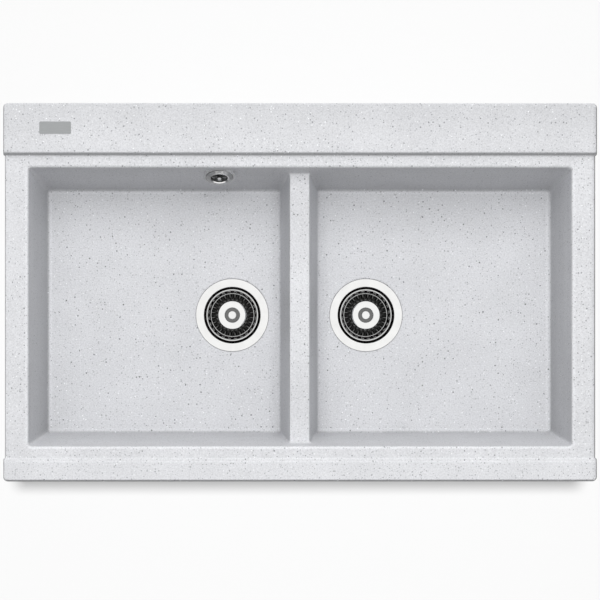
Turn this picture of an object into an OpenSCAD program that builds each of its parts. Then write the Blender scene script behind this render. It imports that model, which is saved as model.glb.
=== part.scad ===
// Double-bowl granite sink for a worktop cut-out, with its two basket strainer wastes,
// its overflow and its rim clips. Millimetres. X runs left to right, Y towards the tap ledge,
// Z up. The origin is the middle of the outline, on the plane where the rim rests on the worktop.

/* [Rim] */
// Width of the tap ledge and of the front strip
sink_w = 780; // [740:2:840]
// Depth from the back edge to the front edge
sink_d = 497; // [480:1:520]
// How far each side steps in between the ledge and the front strip
side_step = 2; // [1:0.5:4]
// Thickness of the side, back and front rims
rim_t = 8; // [7:0.5:12]
// Height of the tap ledge above the rims
ledge_rise = 5; // [3:0.5:8]
// Height of the front strip above the rims
strip_rise = 3; // [2:0.5:5]
// Flat depth of the tap ledge
ledge_d = 62.6; // [58:0.2:70]
// Depth of the slope from the ledge down to the back rim
ledge_slope_d = 6.5; // [4:0.5:9]
// Depth of the back rim, from the slope to the bowl wall
back_rim_d = 15.3; // [12:0.1:20]
// Depth of the front rim, from the bowl wall to the strip's slope
front_rim_d = 15.5; // [12:0.1:20]
// Depth of the slope from the front rim up to the strip
strip_slope_d = 5.2; // [3:0.1:8]
// Flat depth of the front strip
strip_d = 25.8; // [20:0.2:32]
// Width of each side rim, from the edge to the bowl wall
side_rim_w = 31; // [26:0.5:36]
// Radius of the four outer corners
corner_r = 6; // [3:0.5:10]
// Radius where the ledge and the strip step in to the sides
step_corner_r = 2.5; // [1:0.5:4]
// Bevel along the outer top edges
edge_bevel = 1.6; // [0.8:0.2:2.4]

/* [Bowls] */
// Depth of the bowls below the rims
bowl_depth = 190; // [160:5:210]
// Thickness of the bowl walls
wall_t = 9; // [7:0.5:11]
// Thickness of the bowl floors
floor_t = 9; // [8:0.5:12]
// Lean of the two outer side walls from upright, in degrees
side_draft = 4.2; // [2:0.1:6]
// Lean of the back wall from upright, in degrees
back_draft = 6.9; // [4:0.1:8]
// Lean of the front wall from upright, in degrees
front_draft = 3.2; // [2:0.1:6]
// Lean of the walls on each side of the divider, in degrees
divider_draft = 4.6; // [3:0.1:6]
// Width of the divider at its top
divider_w = 25.5; // [22:0.5:34]
// How far the divider's top lies below the rims
divider_drop = 45; // [30:1:60]
// Bevel round the opening, where the rims turn down into the bowls
rim_edge = 4; // [2:0.5:6]
// Bevel along the divider's top edges
divider_edge = 3; // [1.5:0.5:5]
// Bevel where the floors turn up into the walls
floor_edge = 5; // [3:0.5:8]
// Bevel along the outer bottom edges
base_edge = 8; // [4:0.5:10]

/* [Fixing] */
// Rim width that rests on the worktop round the cut-out
rest_w = 10; // [8:0.5:14]
// Distance of the front and back clips' pivots inside the cut-out line
clip_in = 10; // [9:0.5:12]
// Gap between a parked side clip and the bowl wall
clip_wall_gap = 3.1; // [1:0.1:4]
// Distance of the side clips from the middle, along the side
side_clip_y = 105; // [70:5:130]
// Distance of the front and back clips from the middle, along the rim
long_clip_x = 190; // [160:5:250]
// Radius of the moulded boss that holds an insert
boss_r = 6.5; // [6:0.1:7]
// Height of the moulded boss
boss_h = 12; // [10:0.5:16]
// Outer radius of the threaded insert
insert_r = 3.6; // [3.3:0.1:4]
// Length of the threaded insert
insert_h = 10; // [7:0.5:10]
// Radius of the clip screw
clip_screw_r = 2.5; // [2:0.1:3]
// Radius of the clip screw's head
clip_head_r = 4.6; // [4.2:0.1:5.5]
// Height of the clip screw's head
clip_head_h = 3.2; // [2.4:0.1:4]
// Thickness of the clip's arm
clip_t = 2; // [1.5:0.1:3]
// Width of the clip's arm
clip_w = 12; // [11:0.5:13]
// How far a side clip reaches under the worktop, from the cut-out line
clip_reach = 20; // [16:1:26]
// Height of the upturned tooth on the arm, above the arm
tooth_h = 6; // [3:0.5:8]
// Height of the sleeve on the arm that turns on the screw
hub_h = 6; // [4:0.5:9]
// Depth of the arm's upper face below the rim's resting plane
clip_drop = 42; // [36:1:48]

/* [Tap holes] */
// Radius of the knock-outs under the ledge
tap_r = 17.5; // [16:0.5:18]
// Material left above each knock-out
tap_skin = 6; // [4:0.5:8]
// Distance between neighbouring knock-outs
tap_pitch = 95; // [60:5:120]
// Distance of the knock-outs from the back edge
tap_in = 32; // [28:1:36]

/* [Badge plate] */
// Width of the blank plate on the ledge
badge_w = 41.6; // [36:0.2:60]
// Depth of the blank plate, front to back
badge_d = 16; // [10:0.2:22]
// Thickness of the blank plate
badge_t = 0.8; // [0.6:0.1:1.5]
// Corner radius of the blank plate
badge_r = 1.7; // [1:0.1:3]
// Distance of the plate from the ledge's left end
badge_from_side = 47.6; // [30:0.2:80]
// Distance of the plate from the back edge
badge_from_back = 24.2; // [14:0.2:28]

/* [Strainer wastes] */
// Distance of each waste from the middle, across the sink
drain_x = 91; // [88:1:130]
// Distance of the wastes in front of the middle
drain_y = 30.5; // [10:0.5:50]
// Width of the steel flange's edge that lies on the floor round the hole
flange_lip = 4.5; // [3:0.5:7]
// Thickness of the steel sheet
sheet_t = 1.2; // [1:0.1:1.4]
// Gap round the flange in its recess
recess_gap = 0.8; // [0.5:0.1:1.5]
// Thickness of the gasket under the flange
top_gasket_t = 1; // [0.8:0.1:1.4]
// Thickness of the gasket under the bowl
low_gasket_t = 3; // [2:0.5:4]
// Gap round the steel cup in the hole through the bowl floor
hole_gap = 5.3; // [4:0.1:6]
// Inside radius of the steel cup at its mouth
cup_r = 38.5; // [38:0.1:39]
// How much narrower the steel cup is at its bottom, in radius
cup_taper = 2.5; // [1.5:0.1:3.5]
// Depth of the steel cup
cup_depth = 42; // [41:0.5:48]
// Radius of the drain holes in the cup's bottom
drain_hole_r = 4.2; // [3:0.1:4.4]
// Distance of the drain holes from the cup's axis
drain_hole_at = 13; // [12.6:0.1:14.5]
// Gap round the steel cup in the plastic waste body
body_gap = 1.8; // [1:0.1:2.4]
// Wall of the plastic waste body
body_wall = 2.5; // [2:0.1:3]
// Width of the waste body's flange outside the hole in the floor
body_flange_lip = 5; // [3.5:0.5:7]
// Thickness of the waste body's flange
body_flange_t = 4; // [3:0.5:5]
// Height of the cone between the waste body and its outlet
cone_h = 17; // [14:0.5:24]
// Outside radius of the threaded outlet
outlet_r = 23.9; // [22:0.1:26]
// Wall of the threaded outlet
outlet_wall = 3.9; // [2.5:0.1:4.5]
// Length of the outlet
outlet_l = 26; // [20:1:40]
// Radius of the clamping screw
clamp_r = 3; // [2.5:0.1:3.5]
// Radius of the clamping screw's head
clamp_head_r = 5.5; // [5:0.1:6.5]
// Height of the clamping screw's head
clamp_head_h = 3; // [2:0.1:3.2]
// Height of the waste body's hub, which takes the clamping screw
hub_l = 11; // [8:0.5:14]
// Radius of the waste body's hub
hub_r = 8; // [6:0.5:8.5]
// Width of the hub's three arms
spoke_w = 4; // [3:0.5:6]

/* [Baskets] */
// Gap between the basket's rolled rim and the cup's mouth
basket_gap = 3.5; // [2.5:0.1:5]
// How much narrower the basket is at its bottom, in radius
basket_taper = 5; // [4:0.1:7]
// Depth of the basket's rim below the bowl floor
basket_sink = 8.5; // [6:0.5:10]
// Height of the basket's bottom above the disc that backs its seal
basket_stand = 1.9; // [1:0.1:3]
// Thickness of the basket's sheet
basket_t = 0.8; // [0.6:0.1:1]
// Number of slots round the basket
slot_count = 24; // [12:1:30]
// Width of a slot
slot_w = 1.8; // [1.2:0.1:2.4]
// Length of a slot in the basket's bottom
slot_l = 6.5; // [4:0.5:7]
// Height of a slot in the basket's wall
slot_h = 9; // [5:0.5:12]
// Radius of the polished cap in the basket
cap_r = 19; // [17:0.5:20]
// Radius of the recess in the cap
cap_recess_r = 9.7; // [9:0.1:11]
// Radius of the centre button
button_r = 5.8; // [5.5:0.1:7]
// Height of the centre button
button_h = 2.7; // [2:0.1:4]
// Radius of the post that carries the cap and the seal
post_r = 5; // [4:0.1:5.2]
// Thickness of the rubber seal under the basket
seal_t = 3.5; // [3:0.1:3.8]
// Radius of the rubber seal
seal_r = 21; // [18.5:0.5:24]
// Thickness of the disc that backs the seal
backing_t = 1.5; // [1:0.1:1.8]

/* [Overflow] */
// Distance of the overflow to the left of the middle
over_x = 106.7; // [95:0.1:200]
// Depth of the overflow's middle below the rims
over_drop = 38; // [36:0.5:44]
// Lean of the overflow's seat from upright, in degrees
over_tilt = 28.8; // [24:0.2:32]
// Radius of the steel rosette
rosette_r = 18.5; // [17:0.5:20]
// Thickness of the rosette
rosette_t = 2.4; // [2:0.1:3]
// Radius of the rosette's dished middle
dish_r = 11.6; // [11.2:0.1:13]
// Radius of each opening in the rosette
rosette_hole_r = 3.4; // [2.5:0.1:3.6]
// Distance of the openings from the rosette's middle
rosette_hole_at = 7.2; // [6.9:0.1:7.4]
// Radius of the moulded boss that carries the rosette
over_boss_r = 21; // [20.5:0.1:23]
// How far the boss stands out of the wall behind, at its lower edge
over_boss_out = 1.3; // [1:0.1:4]
// Radius of the waterway through the boss
over_bore_r = 13; // [12:0.1:13.4]
// Radius of the overflow screw
over_screw_r = 2.5; // [2:0.1:2.6]
// Thickness of the gasket behind the boss
over_gasket_t = 2.5; // [2:0.1:4]
// Radius of the housing behind the wall
housing_r = 17; // [16.5:0.1:18]
// Depth of the housing
housing_l = 16; // [15.5:0.5:20]
// Wall of the housing
housing_wall = 2.5; // [2:0.1:3]

/* [Overflow hose] */
// Height of the hose's ribs
rib_h = 1.5; // [1:0.1:2.5]
// Wall of the hose between its ribs and at the plain ends
hose_wall = 1.5; // [1:0.1:2]
// Distance from rib to rib
rib_pitch = 4.4; // [3.8:0.1:6]
// Radius of the hose's bend
bend_r = 40; // [32:1:50]
// Outside radius of the spigots that the hose slips over
spigot_r = 8; // [7:0.1:9]
// Wall of the spigots
spigot_wall = 1.8; // [1.5:0.1:2.5]
// Length of the spigots inside the hose
spigot_l = 18; // [12:1:24]
// Depth of the waste's spigot below the bowl's underside
spigot_drop = 24; // [22:0.5:28]
// Width of a hose clip
hose_clip_w = 9; // [6:0.5:12]
// Thickness of a hose clip's band
hose_clip_t = 1.7; // [1:0.1:2.5]

/* [Hidden] */
$fn = 96;
LEFT = -1;
RIGHT = 1;

// overrun of every cut, and the clearances between pieces
over = 1;
// how far below the rim's resting plane the rim and the bowls of the granite body meet
seam_drop = 2;
turn_gap = 0.08;
press_gap = 0.05;
lie_gap = 0.3;
slip_gap = 0.2;
thread_gap = 0.05;

// heights and places of the rim and bowls
ledge_top = rim_t + ledge_rise;
strip_top = rim_t + strip_rise;
top_all = max(ledge_top, strip_top) + over;
mid_half = sink_w / 2 - side_step;
back_edge = sink_d / 2;
front_edge = -sink_d / 2;
ledge_front = back_edge - ledge_d;
back_rim_back = ledge_front - ledge_slope_d;
strip_back = front_edge + strip_d;
front_rim_front = strip_back + strip_slope_d;
open_half = mid_half - side_rim_w;
open_back = back_rim_back - back_rim_d;
open_front = front_rim_front + front_rim_d;
floor_z = rim_t - bowl_depth;
under_z = floor_z - floor_t;
divider_top = rim_t - divider_drop;
lip_z = rim_t - rim_edge;

// where the walls stand at a height
function side_x(z) = open_half - (rim_t - z) * tan(side_draft);
function divider_x(z) = divider_w / 2 + (divider_top - z) * tan(divider_draft);
function back_y(z) = open_back - (rim_t - z) * tan(back_draft);
function front_y(z) = open_front + (rim_t - z) * tan(front_draft);
function mirrored(points) = [for (i = [len(points) - 1:-1:0]) [-points[i][0], points[i][1]]];

// wastes
hole_r = cup_r + sheet_t + hole_gap;
flange_r = hole_r + flange_lip;
cup_low_r = cup_r - cup_taper;
body_r = cup_r + sheet_t + body_gap;
body_flange_r = hole_r + body_flange_lip;
outlet_bore_r = outlet_r - outlet_wall;
recess_r = flange_r + recess_gap;
recess_h = top_gasket_t + sheet_t;
cup_floor = floor_z - cup_depth;
gasket_in_r = hole_r + recess_gap;
gasket_out_r = flange_r - recess_gap;
body_top = under_z - low_gasket_t;
cone_top = cup_floor - sheet_t;
cone_low = cone_top - cone_h;
outlet_low = cone_low - outlet_l;
screw_hole_r = clamp_r + slip_gap;

// baskets, from the seal upwards
seal_low = cup_floor + lie_gap;
seal_top = seal_low + seal_t;
backing_top = seal_top + backing_t;
rim_z = floor_z - basket_sink;
basket_low = backing_top + basket_stand;
basket_r = cup_r - basket_gap;
basket_low_r = basket_r - basket_taper;
rim_roll = 2 * basket_t;
seal_in_r = clamp_head_r + 2 * recess_gap;
backing_r = seal_r - 2 * backing_t;
collar_r = post_r + 2 * sheet_t;
sleeve_in_r = post_r + slip_gap;
sleeve_r = sleeve_in_r + 2 * basket_t;
cap_edge_h = 4 * basket_t;
cap_dome_h = 3 * basket_t;
cap_top = rim_z - cap_edge_h;
cap_recess_z = cap_top - basket_t;
cap_edge_top = cap_top - cap_dome_h;
slot_from = basket_low_r - basket_t - slot_l;

// overflow: its seat stands wholly in front of the wall, so the rosette's top edge meets the wall
over_z = rim_t - over_drop;
over_top_z = over_z + rosette_r * cos(over_tilt);
over_y = back_y(over_top_z) - rosette_r * sin(over_tilt);
// the boss reaches so far back that its lower edge stands out of the wall's back face
over_boss_l = (back_y(over_z) - over_y + wall_t + over_boss_out
  + over_boss_r * (sin(over_tilt) - cos(over_tilt) * tan(back_draft)))
  / (cos(over_tilt) + sin(over_tilt) * tan(back_draft));
gasket_back = over_boss_l + over_gasket_t;
housing_mid = gasket_back + housing_l / 2;
housing_flange_t = 3;
spigot_y = over_y + housing_mid * cos(over_tilt);
spigot_mid_z = over_z - housing_mid * sin(over_tilt);
collar_t = 3;
hose_sides = 8;
hose_bore_r = (spigot_r + lie_gap) / cos(180 / hose_sides);
hose_valley_r = hose_bore_r + hose_wall;
hose_r = hose_valley_r + rib_h;
spigot_bore_r = spigot_r - spigot_wall;
spigot_top_z = spigot_mid_z - housing_r - over_gasket_t;
hose_top_z = spigot_top_z - collar_t;
hose_low_z = under_z - spigot_drop;
run_dx = drain_x - over_x;
run_dy = spigot_y + drain_y;
run_l = sqrt(run_dx * run_dx + run_dy * run_dy);
run_turn = atan2(run_dy, run_dx);
hose_start = body_flange_r + collar_t;
straight_l = run_l - bend_r - hose_start;
drop_l = hose_top_z - hose_low_z - bend_r;
arc_l = bend_r * PI / 2;
hose_l = straight_l + arc_l + drop_l;
plain_l = 2 * hose_r;
rib_count = floor((hose_l - 2 * plain_l) / rib_pitch);
rib_space = (hose_l - 2 * plain_l) / rib_count;
bore_steps = 12;

// clips
cut_x = sink_w / 2 - rest_w;
cut_y = sink_d / 2 - rest_w;
clip_x = side_x(tooth_h - clip_drop) + wall_t + clip_wall_gap + clip_w / 2;
clip_y = cut_y - clip_in;
clip_l = cut_x - clip_x + clip_reach;
arm_low = clip_drop + clip_t;
head_top = arm_low + slip_gap;
insert_low = boss_h;
insert_top = boss_h - insert_h;
shank_top = insert_top + thread_gap;
pilot_r = insert_r + press_gap;
pilot_h = boss_h - insert_top + thread_gap;
tooth_t = clip_t;
bead_w = clip_t;
bead_h = 1.5 * clip_t;
CLIPS = [
  [clip_x, side_clip_y, 270], [clip_x, -side_clip_y, 90],
  [-clip_x, side_clip_y, 270], [-clip_x, -side_clip_y, 90],
  [long_clip_x, clip_y, 180], [-long_clip_x, clip_y, 0],
  [long_clip_x, -clip_y, 180], [-long_clip_x, -clip_y, 0]
];

// a section drawn in Y and Z, drawn out along X
module along_x(length) {
  rotate([90, 0, 90])
    linear_extrude(length, center = true)
      children();
}

// a section drawn in X and Z, drawn out along Y
module along_y(length) {
  rotate([90, 0, 0])
    linear_extrude(length, center = true)
      children();
}

// a rectangle on the middle line whose back and front corners have their own radii
module band(w, front, back, front_r, back_r) {
  translate([-w / 2, front + front_r])
    square([w, back - back_r - front - front_r]);
  translate([front_r - w / 2, front])
    square([w - 2 * front_r, 2 * front_r]);
  translate([back_r - w / 2, back - 2 * back_r])
    square([w - 2 * back_r, 2 * back_r]);
  for (side = [LEFT, RIGHT]) {
    translate([side * (w / 2 - front_r), front + front_r])
      circle(front_r);
    translate([side * (w / 2 - back_r), back - back_r])
      circle(back_r);
  }
}

// the bevelled cross-section of one rim block
module block_section(w, top) {
  polygon([
    [-w / 2, 0], [w / 2, 0], [w / 2, top - edge_bevel], [w / 2 - edge_bevel, top],
    [edge_bevel - w / 2, top], [-w / 2, top - edge_bevel]
  ]);
}

module rim_section() {
  polygon([
    [front_edge, 0], [back_edge, 0],
    [back_edge, ledge_top - edge_bevel], [back_edge - edge_bevel, ledge_top],
    [ledge_front, ledge_top], [back_rim_back, rim_t],
    [front_rim_front, rim_t], [strip_back, strip_top],
    [front_edge + edge_bevel, strip_top], [front_edge, strip_top - edge_bevel]
  ]);
}

module rim() {
  intersection() {
    along_x(sink_w + 2 * over)
      rim_section();
    union() {
      intersection() {
        linear_extrude(ledge_top)
          band(sink_w, back_rim_back, back_edge, step_corner_r, corner_r);
        along_y(sink_d + 2 * over)
          block_section(sink_w, ledge_top);
      }
      intersection() {
        linear_extrude(strip_top)
          band(sink_w, front_edge, front_rim_front, corner_r, step_corner_r);
        along_y(sink_d + 2 * over)
          block_section(sink_w, strip_top);
      }
      intersection() {
        translate([-mid_half, strip_back, 0])
          cube([2 * mid_half, ledge_front - strip_back, rim_t]);
        along_y(sink_d + 2 * over)
          block_section(2 * mid_half, rim_t);
      }
    }
  }
}

// half of the two bowls' hollow, from the rim down the side, over the floor and up the divider
function hollow_half() = [
  [side_x(lip_z) + rim_edge, top_all],
  [side_x(lip_z) + rim_edge, rim_t],
  [side_x(lip_z), lip_z],
  [side_x(floor_z + floor_edge), floor_z + floor_edge],
  [side_x(floor_z) - floor_edge, floor_z],
  [divider_x(floor_z) + floor_edge, floor_z],
  [divider_x(floor_z + floor_edge), floor_z + floor_edge],
  [divider_x(divider_top - divider_edge), divider_top - divider_edge],
  [divider_x(divider_top - divider_edge) - divider_edge, divider_top]
];

module hollow() {
  intersection() {
    along_y(sink_d)
      polygon(concat(hollow_half(), mirrored(hollow_half())));
    along_x(sink_w)
      polygon([
        [front_y(lip_z) - rim_edge, top_all],
        [front_y(lip_z) - rim_edge, rim_t],
        [front_y(lip_z), lip_z],
        [front_y(floor_z + floor_edge), floor_z + floor_edge],
        [front_y(floor_z) + floor_edge, floor_z],
        [back_y(floor_z) - floor_edge, floor_z],
        [back_y(floor_z + floor_edge), floor_z + floor_edge],
        [back_y(lip_z), lip_z],
        [back_y(lip_z) + rim_edge, rim_t],
        [back_y(lip_z) + rim_edge, top_all]
      ]);
  }
}

// half of the outer skin below the rim, with the gap between the two bowls
function skin_half() = [
  [side_x(lip_z) + wall_t, lip_z],
  [side_x(under_z + base_edge) + wall_t, under_z + base_edge],
  [side_x(under_z) + wall_t - base_edge, under_z],
  [divider_x(under_z) - wall_t + base_edge / 2, under_z],
  [divider_x(under_z + base_edge / 2) - wall_t, under_z + base_edge / 2],
  [divider_x(divider_top - floor_t) - wall_t, divider_top - floor_t]
];

module skin() {
  intersection() {
    along_y(sink_d)
      polygon(concat(skin_half(), mirrored(skin_half())));
    along_x(sink_w)
      polygon([
        [front_y(lip_z) - wall_t, lip_z],
        [front_y(under_z + base_edge) - wall_t, under_z + base_edge],
        [front_y(under_z) - wall_t + base_edge, under_z],
        [back_y(under_z) + wall_t - base_edge, under_z],
        [back_y(under_z + base_edge) + wall_t, under_z + base_edge],
        [back_y(lip_z) + wall_t, lip_z]
      ]);
  }
}

// places a piece of the overflow: its own Z points out of the seat into the bowl
module at_overflow() {
  translate([-over_x, over_y, over_z])
    rotate([90 - over_tilt, 0, 0])
      children();
}

module at_clips() {
  for (place = CLIPS)
    translate([place[0], place[1], 0])
      children();
}

// the granite body is one moulding. It is written as five solids that meet on planes: the rim, the
// ledge in three blocks with one tap hole each, and the bowls from just below the rim. Collision then
// leaves the room for the worktop under the rim and for the tap
module shell(low, high) {
  intersection() {
    difference() {
      union() {
        rim();
        skin();
      }
      hollow();
    }
    translate([-sink_w / 2 - over, front_edge - over, low])
      cube([sink_w + 2 * over, sink_d + 2 * over, high - low]);
  }
}

module clip_bosses(gap) {
  at_clips()
    translate([0, 0, -boss_h - gap])
      cylinder(r = boss_r + gap, h = boss_h + gap + rim_t / 2);
}

// everything above that plane, with the bosses for the clips and with the tap holes
module whole_rim() {
  difference() {
    union() {
      shell(-seam_drop, top_all);
      clip_bosses(0);
    }
    for (i = [-1:1])
      translate([i * tap_pitch, back_edge - tap_in, -over])
        cylinder(r = tap_r, h = ledge_top - tap_skin + over);
    at_clips()
      translate([0, 0, -boss_h - over])
        cylinder(r = pilot_r, h = pilot_h + over);
  }
}

// the room of the ledge between two places across the sink
module ledge_room(from, to) {
  translate([from, back_rim_back, -boss_h - over])
    cube([to - from, ledge_slope_d + ledge_d + over, boss_h + over + top_all]);
}

module sink_rim() {
  color("gainsboro")
    difference() {
      whole_rim();
      ledge_room(-sink_w / 2 - over, sink_w / 2 + over);
    }
}

module sink_ledge(from, to) {
  color("gainsboro")
    intersection() {
      whole_rim();
      ledge_room(from, to);
    }
}

module sink_bowls() {
  color("gainsboro")
    difference() {
      union() {
        shell(under_z - over, -seam_drop);
        at_overflow()
          translate([0, 0, -over_boss_l])
            cylinder(r = over_boss_r, h = over_boss_l);
      }
      clip_bosses(press_gap);
      for (side = [LEFT, RIGHT])
        translate([side * drain_x, -drain_y, 0]) {
          translate([0, 0, under_z - over])
            cylinder(r = hole_r, h = floor_t + 2 * over);
          translate([0, 0, floor_z - recess_h])
            cylinder(r = recess_r, h = recess_h + over);
        }
      at_overflow()
        translate([0, 0, -over_boss_l - over])
          cylinder(r = over_bore_r, h = over_boss_l + 2 * over);
    }
}

module badge_plate() {
  color("silver")
    translate([badge_from_side + badge_w / 2 - sink_w / 2, back_edge - badge_from_back - badge_d, ledge_top])
      linear_extrude(badge_t)
        band(badge_w, 0, badge_d, badge_r, badge_r);
}

module at_drain(side) {
  translate([side * drain_x, -drain_y, 0])
    children();
}

module strainer_flange(side) {
  color("lightsteelblue")
    at_drain(side)
      difference() {
        rotate_extrude()
          polygon([
            [flange_r, floor_z - sheet_t], [flange_r, floor_z], [cup_r, floor_z],
            [cup_low_r, cup_floor], [screw_hole_r, cup_floor], [screw_hole_r, cup_floor - sheet_t],
            [cup_low_r + sheet_t, cup_floor - sheet_t], [cup_r + sheet_t, floor_z - sheet_t]
          ]);
        for (i = [0:5])
          rotate([0, 0, i * 60])
            translate([drain_hole_at, 0, cup_floor - sheet_t - over])
              cylinder(r = drain_hole_r, h = sheet_t + 2 * over, $fn = 48);
      }
}

module flange_gasket(side) {
  color("dimgray")
    at_drain(side)
      translate([0, 0, floor_z - recess_h])
        difference() {
          cylinder(r = gasket_out_r, h = top_gasket_t);
          translate([0, 0, -over])
            cylinder(r = gasket_in_r, h = top_gasket_t + 2 * over);
        }
}

module floor_gasket(side) {
  color("dimgray")
    at_drain(side)
      translate([0, 0, body_top])
        difference() {
          cylinder(r = gasket_out_r, h = low_gasket_t);
          translate([0, 0, -over])
            cylinder(r = gasket_in_r, h = low_gasket_t + 2 * over);
        }
}

// the hollow of the plastic waste body, from the axis, with a gap to its wall
function body_inner(gap) = [
  [0, body_top + over], [body_r - gap, body_top + over], [body_r - gap, cone_top + body_wall],
  [outlet_bore_r - gap, cone_low + body_wall], [outlet_bore_r - gap, cone_low - over], [0, cone_low - over]
];

// each plastic waste is one moulding. It is written as three solids: the body, which is its cup and
// cone, the hub in it that takes the clamping screw, and the outlet below
module waste_body(side) {
  color("slategray")
    at_drain(side)
      difference() {
        rotate_extrude()
          difference() {
            polygon([
              [0, body_top], [body_flange_r, body_top], [body_flange_r, body_top - body_flange_t],
              [body_r + body_wall, body_top - body_flange_t], [body_r + body_wall, cone_top],
              [outlet_r, cone_low], [0, cone_low]
            ]);
            polygon(body_inner(0));
          }
        if (side == LEFT)
          at_inlet(body_r / 2)
            cylinder(r = spigot_r + press_gap, h = body_r);
      }
}

module waste_hub(side) {
  color("slategray")
    at_drain(side)
      difference() {
        union() {
          translate([0, 0, cone_top - hub_l])
            cylinder(r = hub_r, h = hub_l);
          intersection() {
            rotate_extrude()
              polygon(body_inner(press_gap));
            for (i = [0:2])
              rotate([0, 0, i * 120])
                translate([0, -spoke_w / 2, cone_top - hub_l])
                  cube([body_r, spoke_w, hub_l - body_wall]);
          }
        }
        translate([0, 0, cone_top - hub_l - over])
          cylinder(r = screw_hole_r, h = hub_l + 2 * over);
      }
}

module waste_outlet(side) {
  color("slategray")
    at_drain(side)
      translate([0, 0, outlet_low])
        difference() {
          cylinder(r = outlet_r, h = outlet_l);
          translate([0, 0, -over])
            cylinder(r = outlet_bore_r, h = outlet_l + 2 * over);
        }
}

// places a piece of the overflow's inlet: its own Z runs out of the left waste towards the hose
module at_inlet(start) {
  rotate([0, 0, run_turn])
    translate([start, 0, hose_low_z])
      rotate([0, 90, 0])
        children();
}

// the spigot in the side of the left waste, with the collar that the hose meets
module overflow_inlet() {
  inlet_start = body_r - press_gap;
  collar_start = body_r + body_wall + press_gap;
  color("slategray")
    at_drain(LEFT)
      difference() {
        union() {
          at_inlet(inlet_start)
            cylinder(r = spigot_r, h = hose_start + spigot_l - inlet_start);
          at_inlet(collar_start)
            cylinder(r = hose_valley_r, h = hose_start - collar_start);
        }
        at_inlet(inlet_start - over)
          cylinder(r = spigot_bore_r, h = hose_start + spigot_l - inlet_start + 2 * over);
      }
}

module clamp_screw(side) {
  color("silver")
    at_drain(side)
      difference() {
        union() {
          translate([0, 0, cone_top - hub_l])
            cylinder(r = clamp_r, h = cup_floor - cone_top + hub_l + clamp_head_h / 2);
          translate([0, 0, cup_floor])
            cylinder(r = clamp_head_r, h = clamp_head_h);
        }
        translate([-clamp_head_r, -basket_t, cup_floor + clamp_head_h / 2])
          cube([2 * clamp_head_r, 2 * basket_t, clamp_head_h]);
      }
}

module basket(side) {
  color("gray")
    at_drain(side)
      difference() {
        rotate_extrude()
          polygon([
            [basket_r, rim_z], [basket_r, rim_z - rim_roll], [basket_r - basket_t, rim_z - rim_roll],
            [basket_low_r, basket_low], [sleeve_in_r, basket_low],
            [sleeve_in_r, basket_low + basket_t], [basket_low_r - basket_t, basket_low + basket_t],
            [basket_r - rim_roll, rim_z]
          ]);
        for (i = [0:slot_count - 1])
          rotate([0, 0, i * 360 / slot_count]) {
            translate([slot_from, -slot_w / 2, basket_low - over])
              cube([slot_l, slot_w, basket_t + 2 * over]);
            rotate([0, 0, 180 / slot_count])
              translate([basket_low_r - 2 * basket_t, -slot_w / 2, basket_low + slot_h / 2])
                cube([basket_r - basket_low_r + 3 * basket_t, slot_w, slot_h]);
          }
      }
}

module basket_cap(side) {
  color("whitesmoke")
    at_drain(side)
      rotate_extrude()
        polygon([
          [sleeve_in_r, basket_low + basket_t], [sleeve_r, basket_low + basket_t],
          [sleeve_r, cap_recess_z - basket_t - slip_gap], [cap_recess_r, cap_recess_z - basket_t],
          [cap_r - basket_t, cap_edge_top - basket_t], [cap_r - basket_t, cap_edge_top - cap_edge_h],
          [cap_r, cap_edge_top - cap_edge_h], [cap_r, cap_edge_top],
          [cap_r - basket_t, cap_edge_top + basket_t], [cap_recess_r + basket_t, cap_top],
          [cap_recess_r, cap_recess_z], [sleeve_in_r, cap_recess_z]
        ]);
}

module basket_post(side) {
  color("silver")
    at_drain(side) {
      translate([0, 0, seal_top])
        cylinder(r = backing_r, h = backing_t);
      translate([0, 0, seal_top])
        cylinder(r = collar_r, h = basket_low - seal_top);
      translate([0, 0, seal_top])
        cylinder(r = post_r, h = cap_recess_z - seal_top + slip_gap);
      translate([0, 0, cap_recess_z + slip_gap])
        cylinder(r = button_r, h = button_h);
    }
}

module basket_seal(side) {
  color("dimgray")
    at_drain(side)
      translate([0, 0, seal_low])
        difference() {
          cylinder(r = seal_r, h = seal_t);
          translate([0, 0, -over])
            cylinder(r = seal_in_r, h = seal_t + 2 * over);
        }
}

module overflow_rosette() {
  color("whitesmoke")
    at_overflow()
      difference() {
        rotate_extrude()
          polygon([
            [clip_screw_r + slip_gap, 0], [rosette_r, 0], [rosette_r, rosette_t / 3],
            [dish_r + rosette_t / 2, rosette_t], [dish_r, rosette_t],
            [dish_r, rosette_t / 2], [clip_screw_r + slip_gap, rosette_t / 2]
          ]);
        for (i = [0:3])
          rotate([0, 0, i * 90])
            translate([rosette_hole_at, 0, -over])
              cylinder(r = rosette_hole_r, h = rosette_t + 2 * over, $fn = 48);
      }
}

module overflow_screw() {
  color("whitesmoke")
    at_overflow() {
      translate([0, 0, -housing_mid])
        cylinder(r = over_screw_r, h = housing_mid + rosette_t / 2);
      translate([0, 0, rosette_t / 2])
        cylinder(r1 = over_screw_r + rosette_t / 2, r2 = over_screw_r, h = rosette_t / 2);
    }
}

module overflow_gasket() {
  color("dimgray")
    at_overflow()
      translate([0, 0, -gasket_back])
        difference() {
          cylinder(r = over_boss_r - recess_gap, h = over_gasket_t);
          translate([0, 0, -over])
            cylinder(r = over_bore_r + recess_gap, h = over_gasket_t + 2 * over);
        }
}

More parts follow.
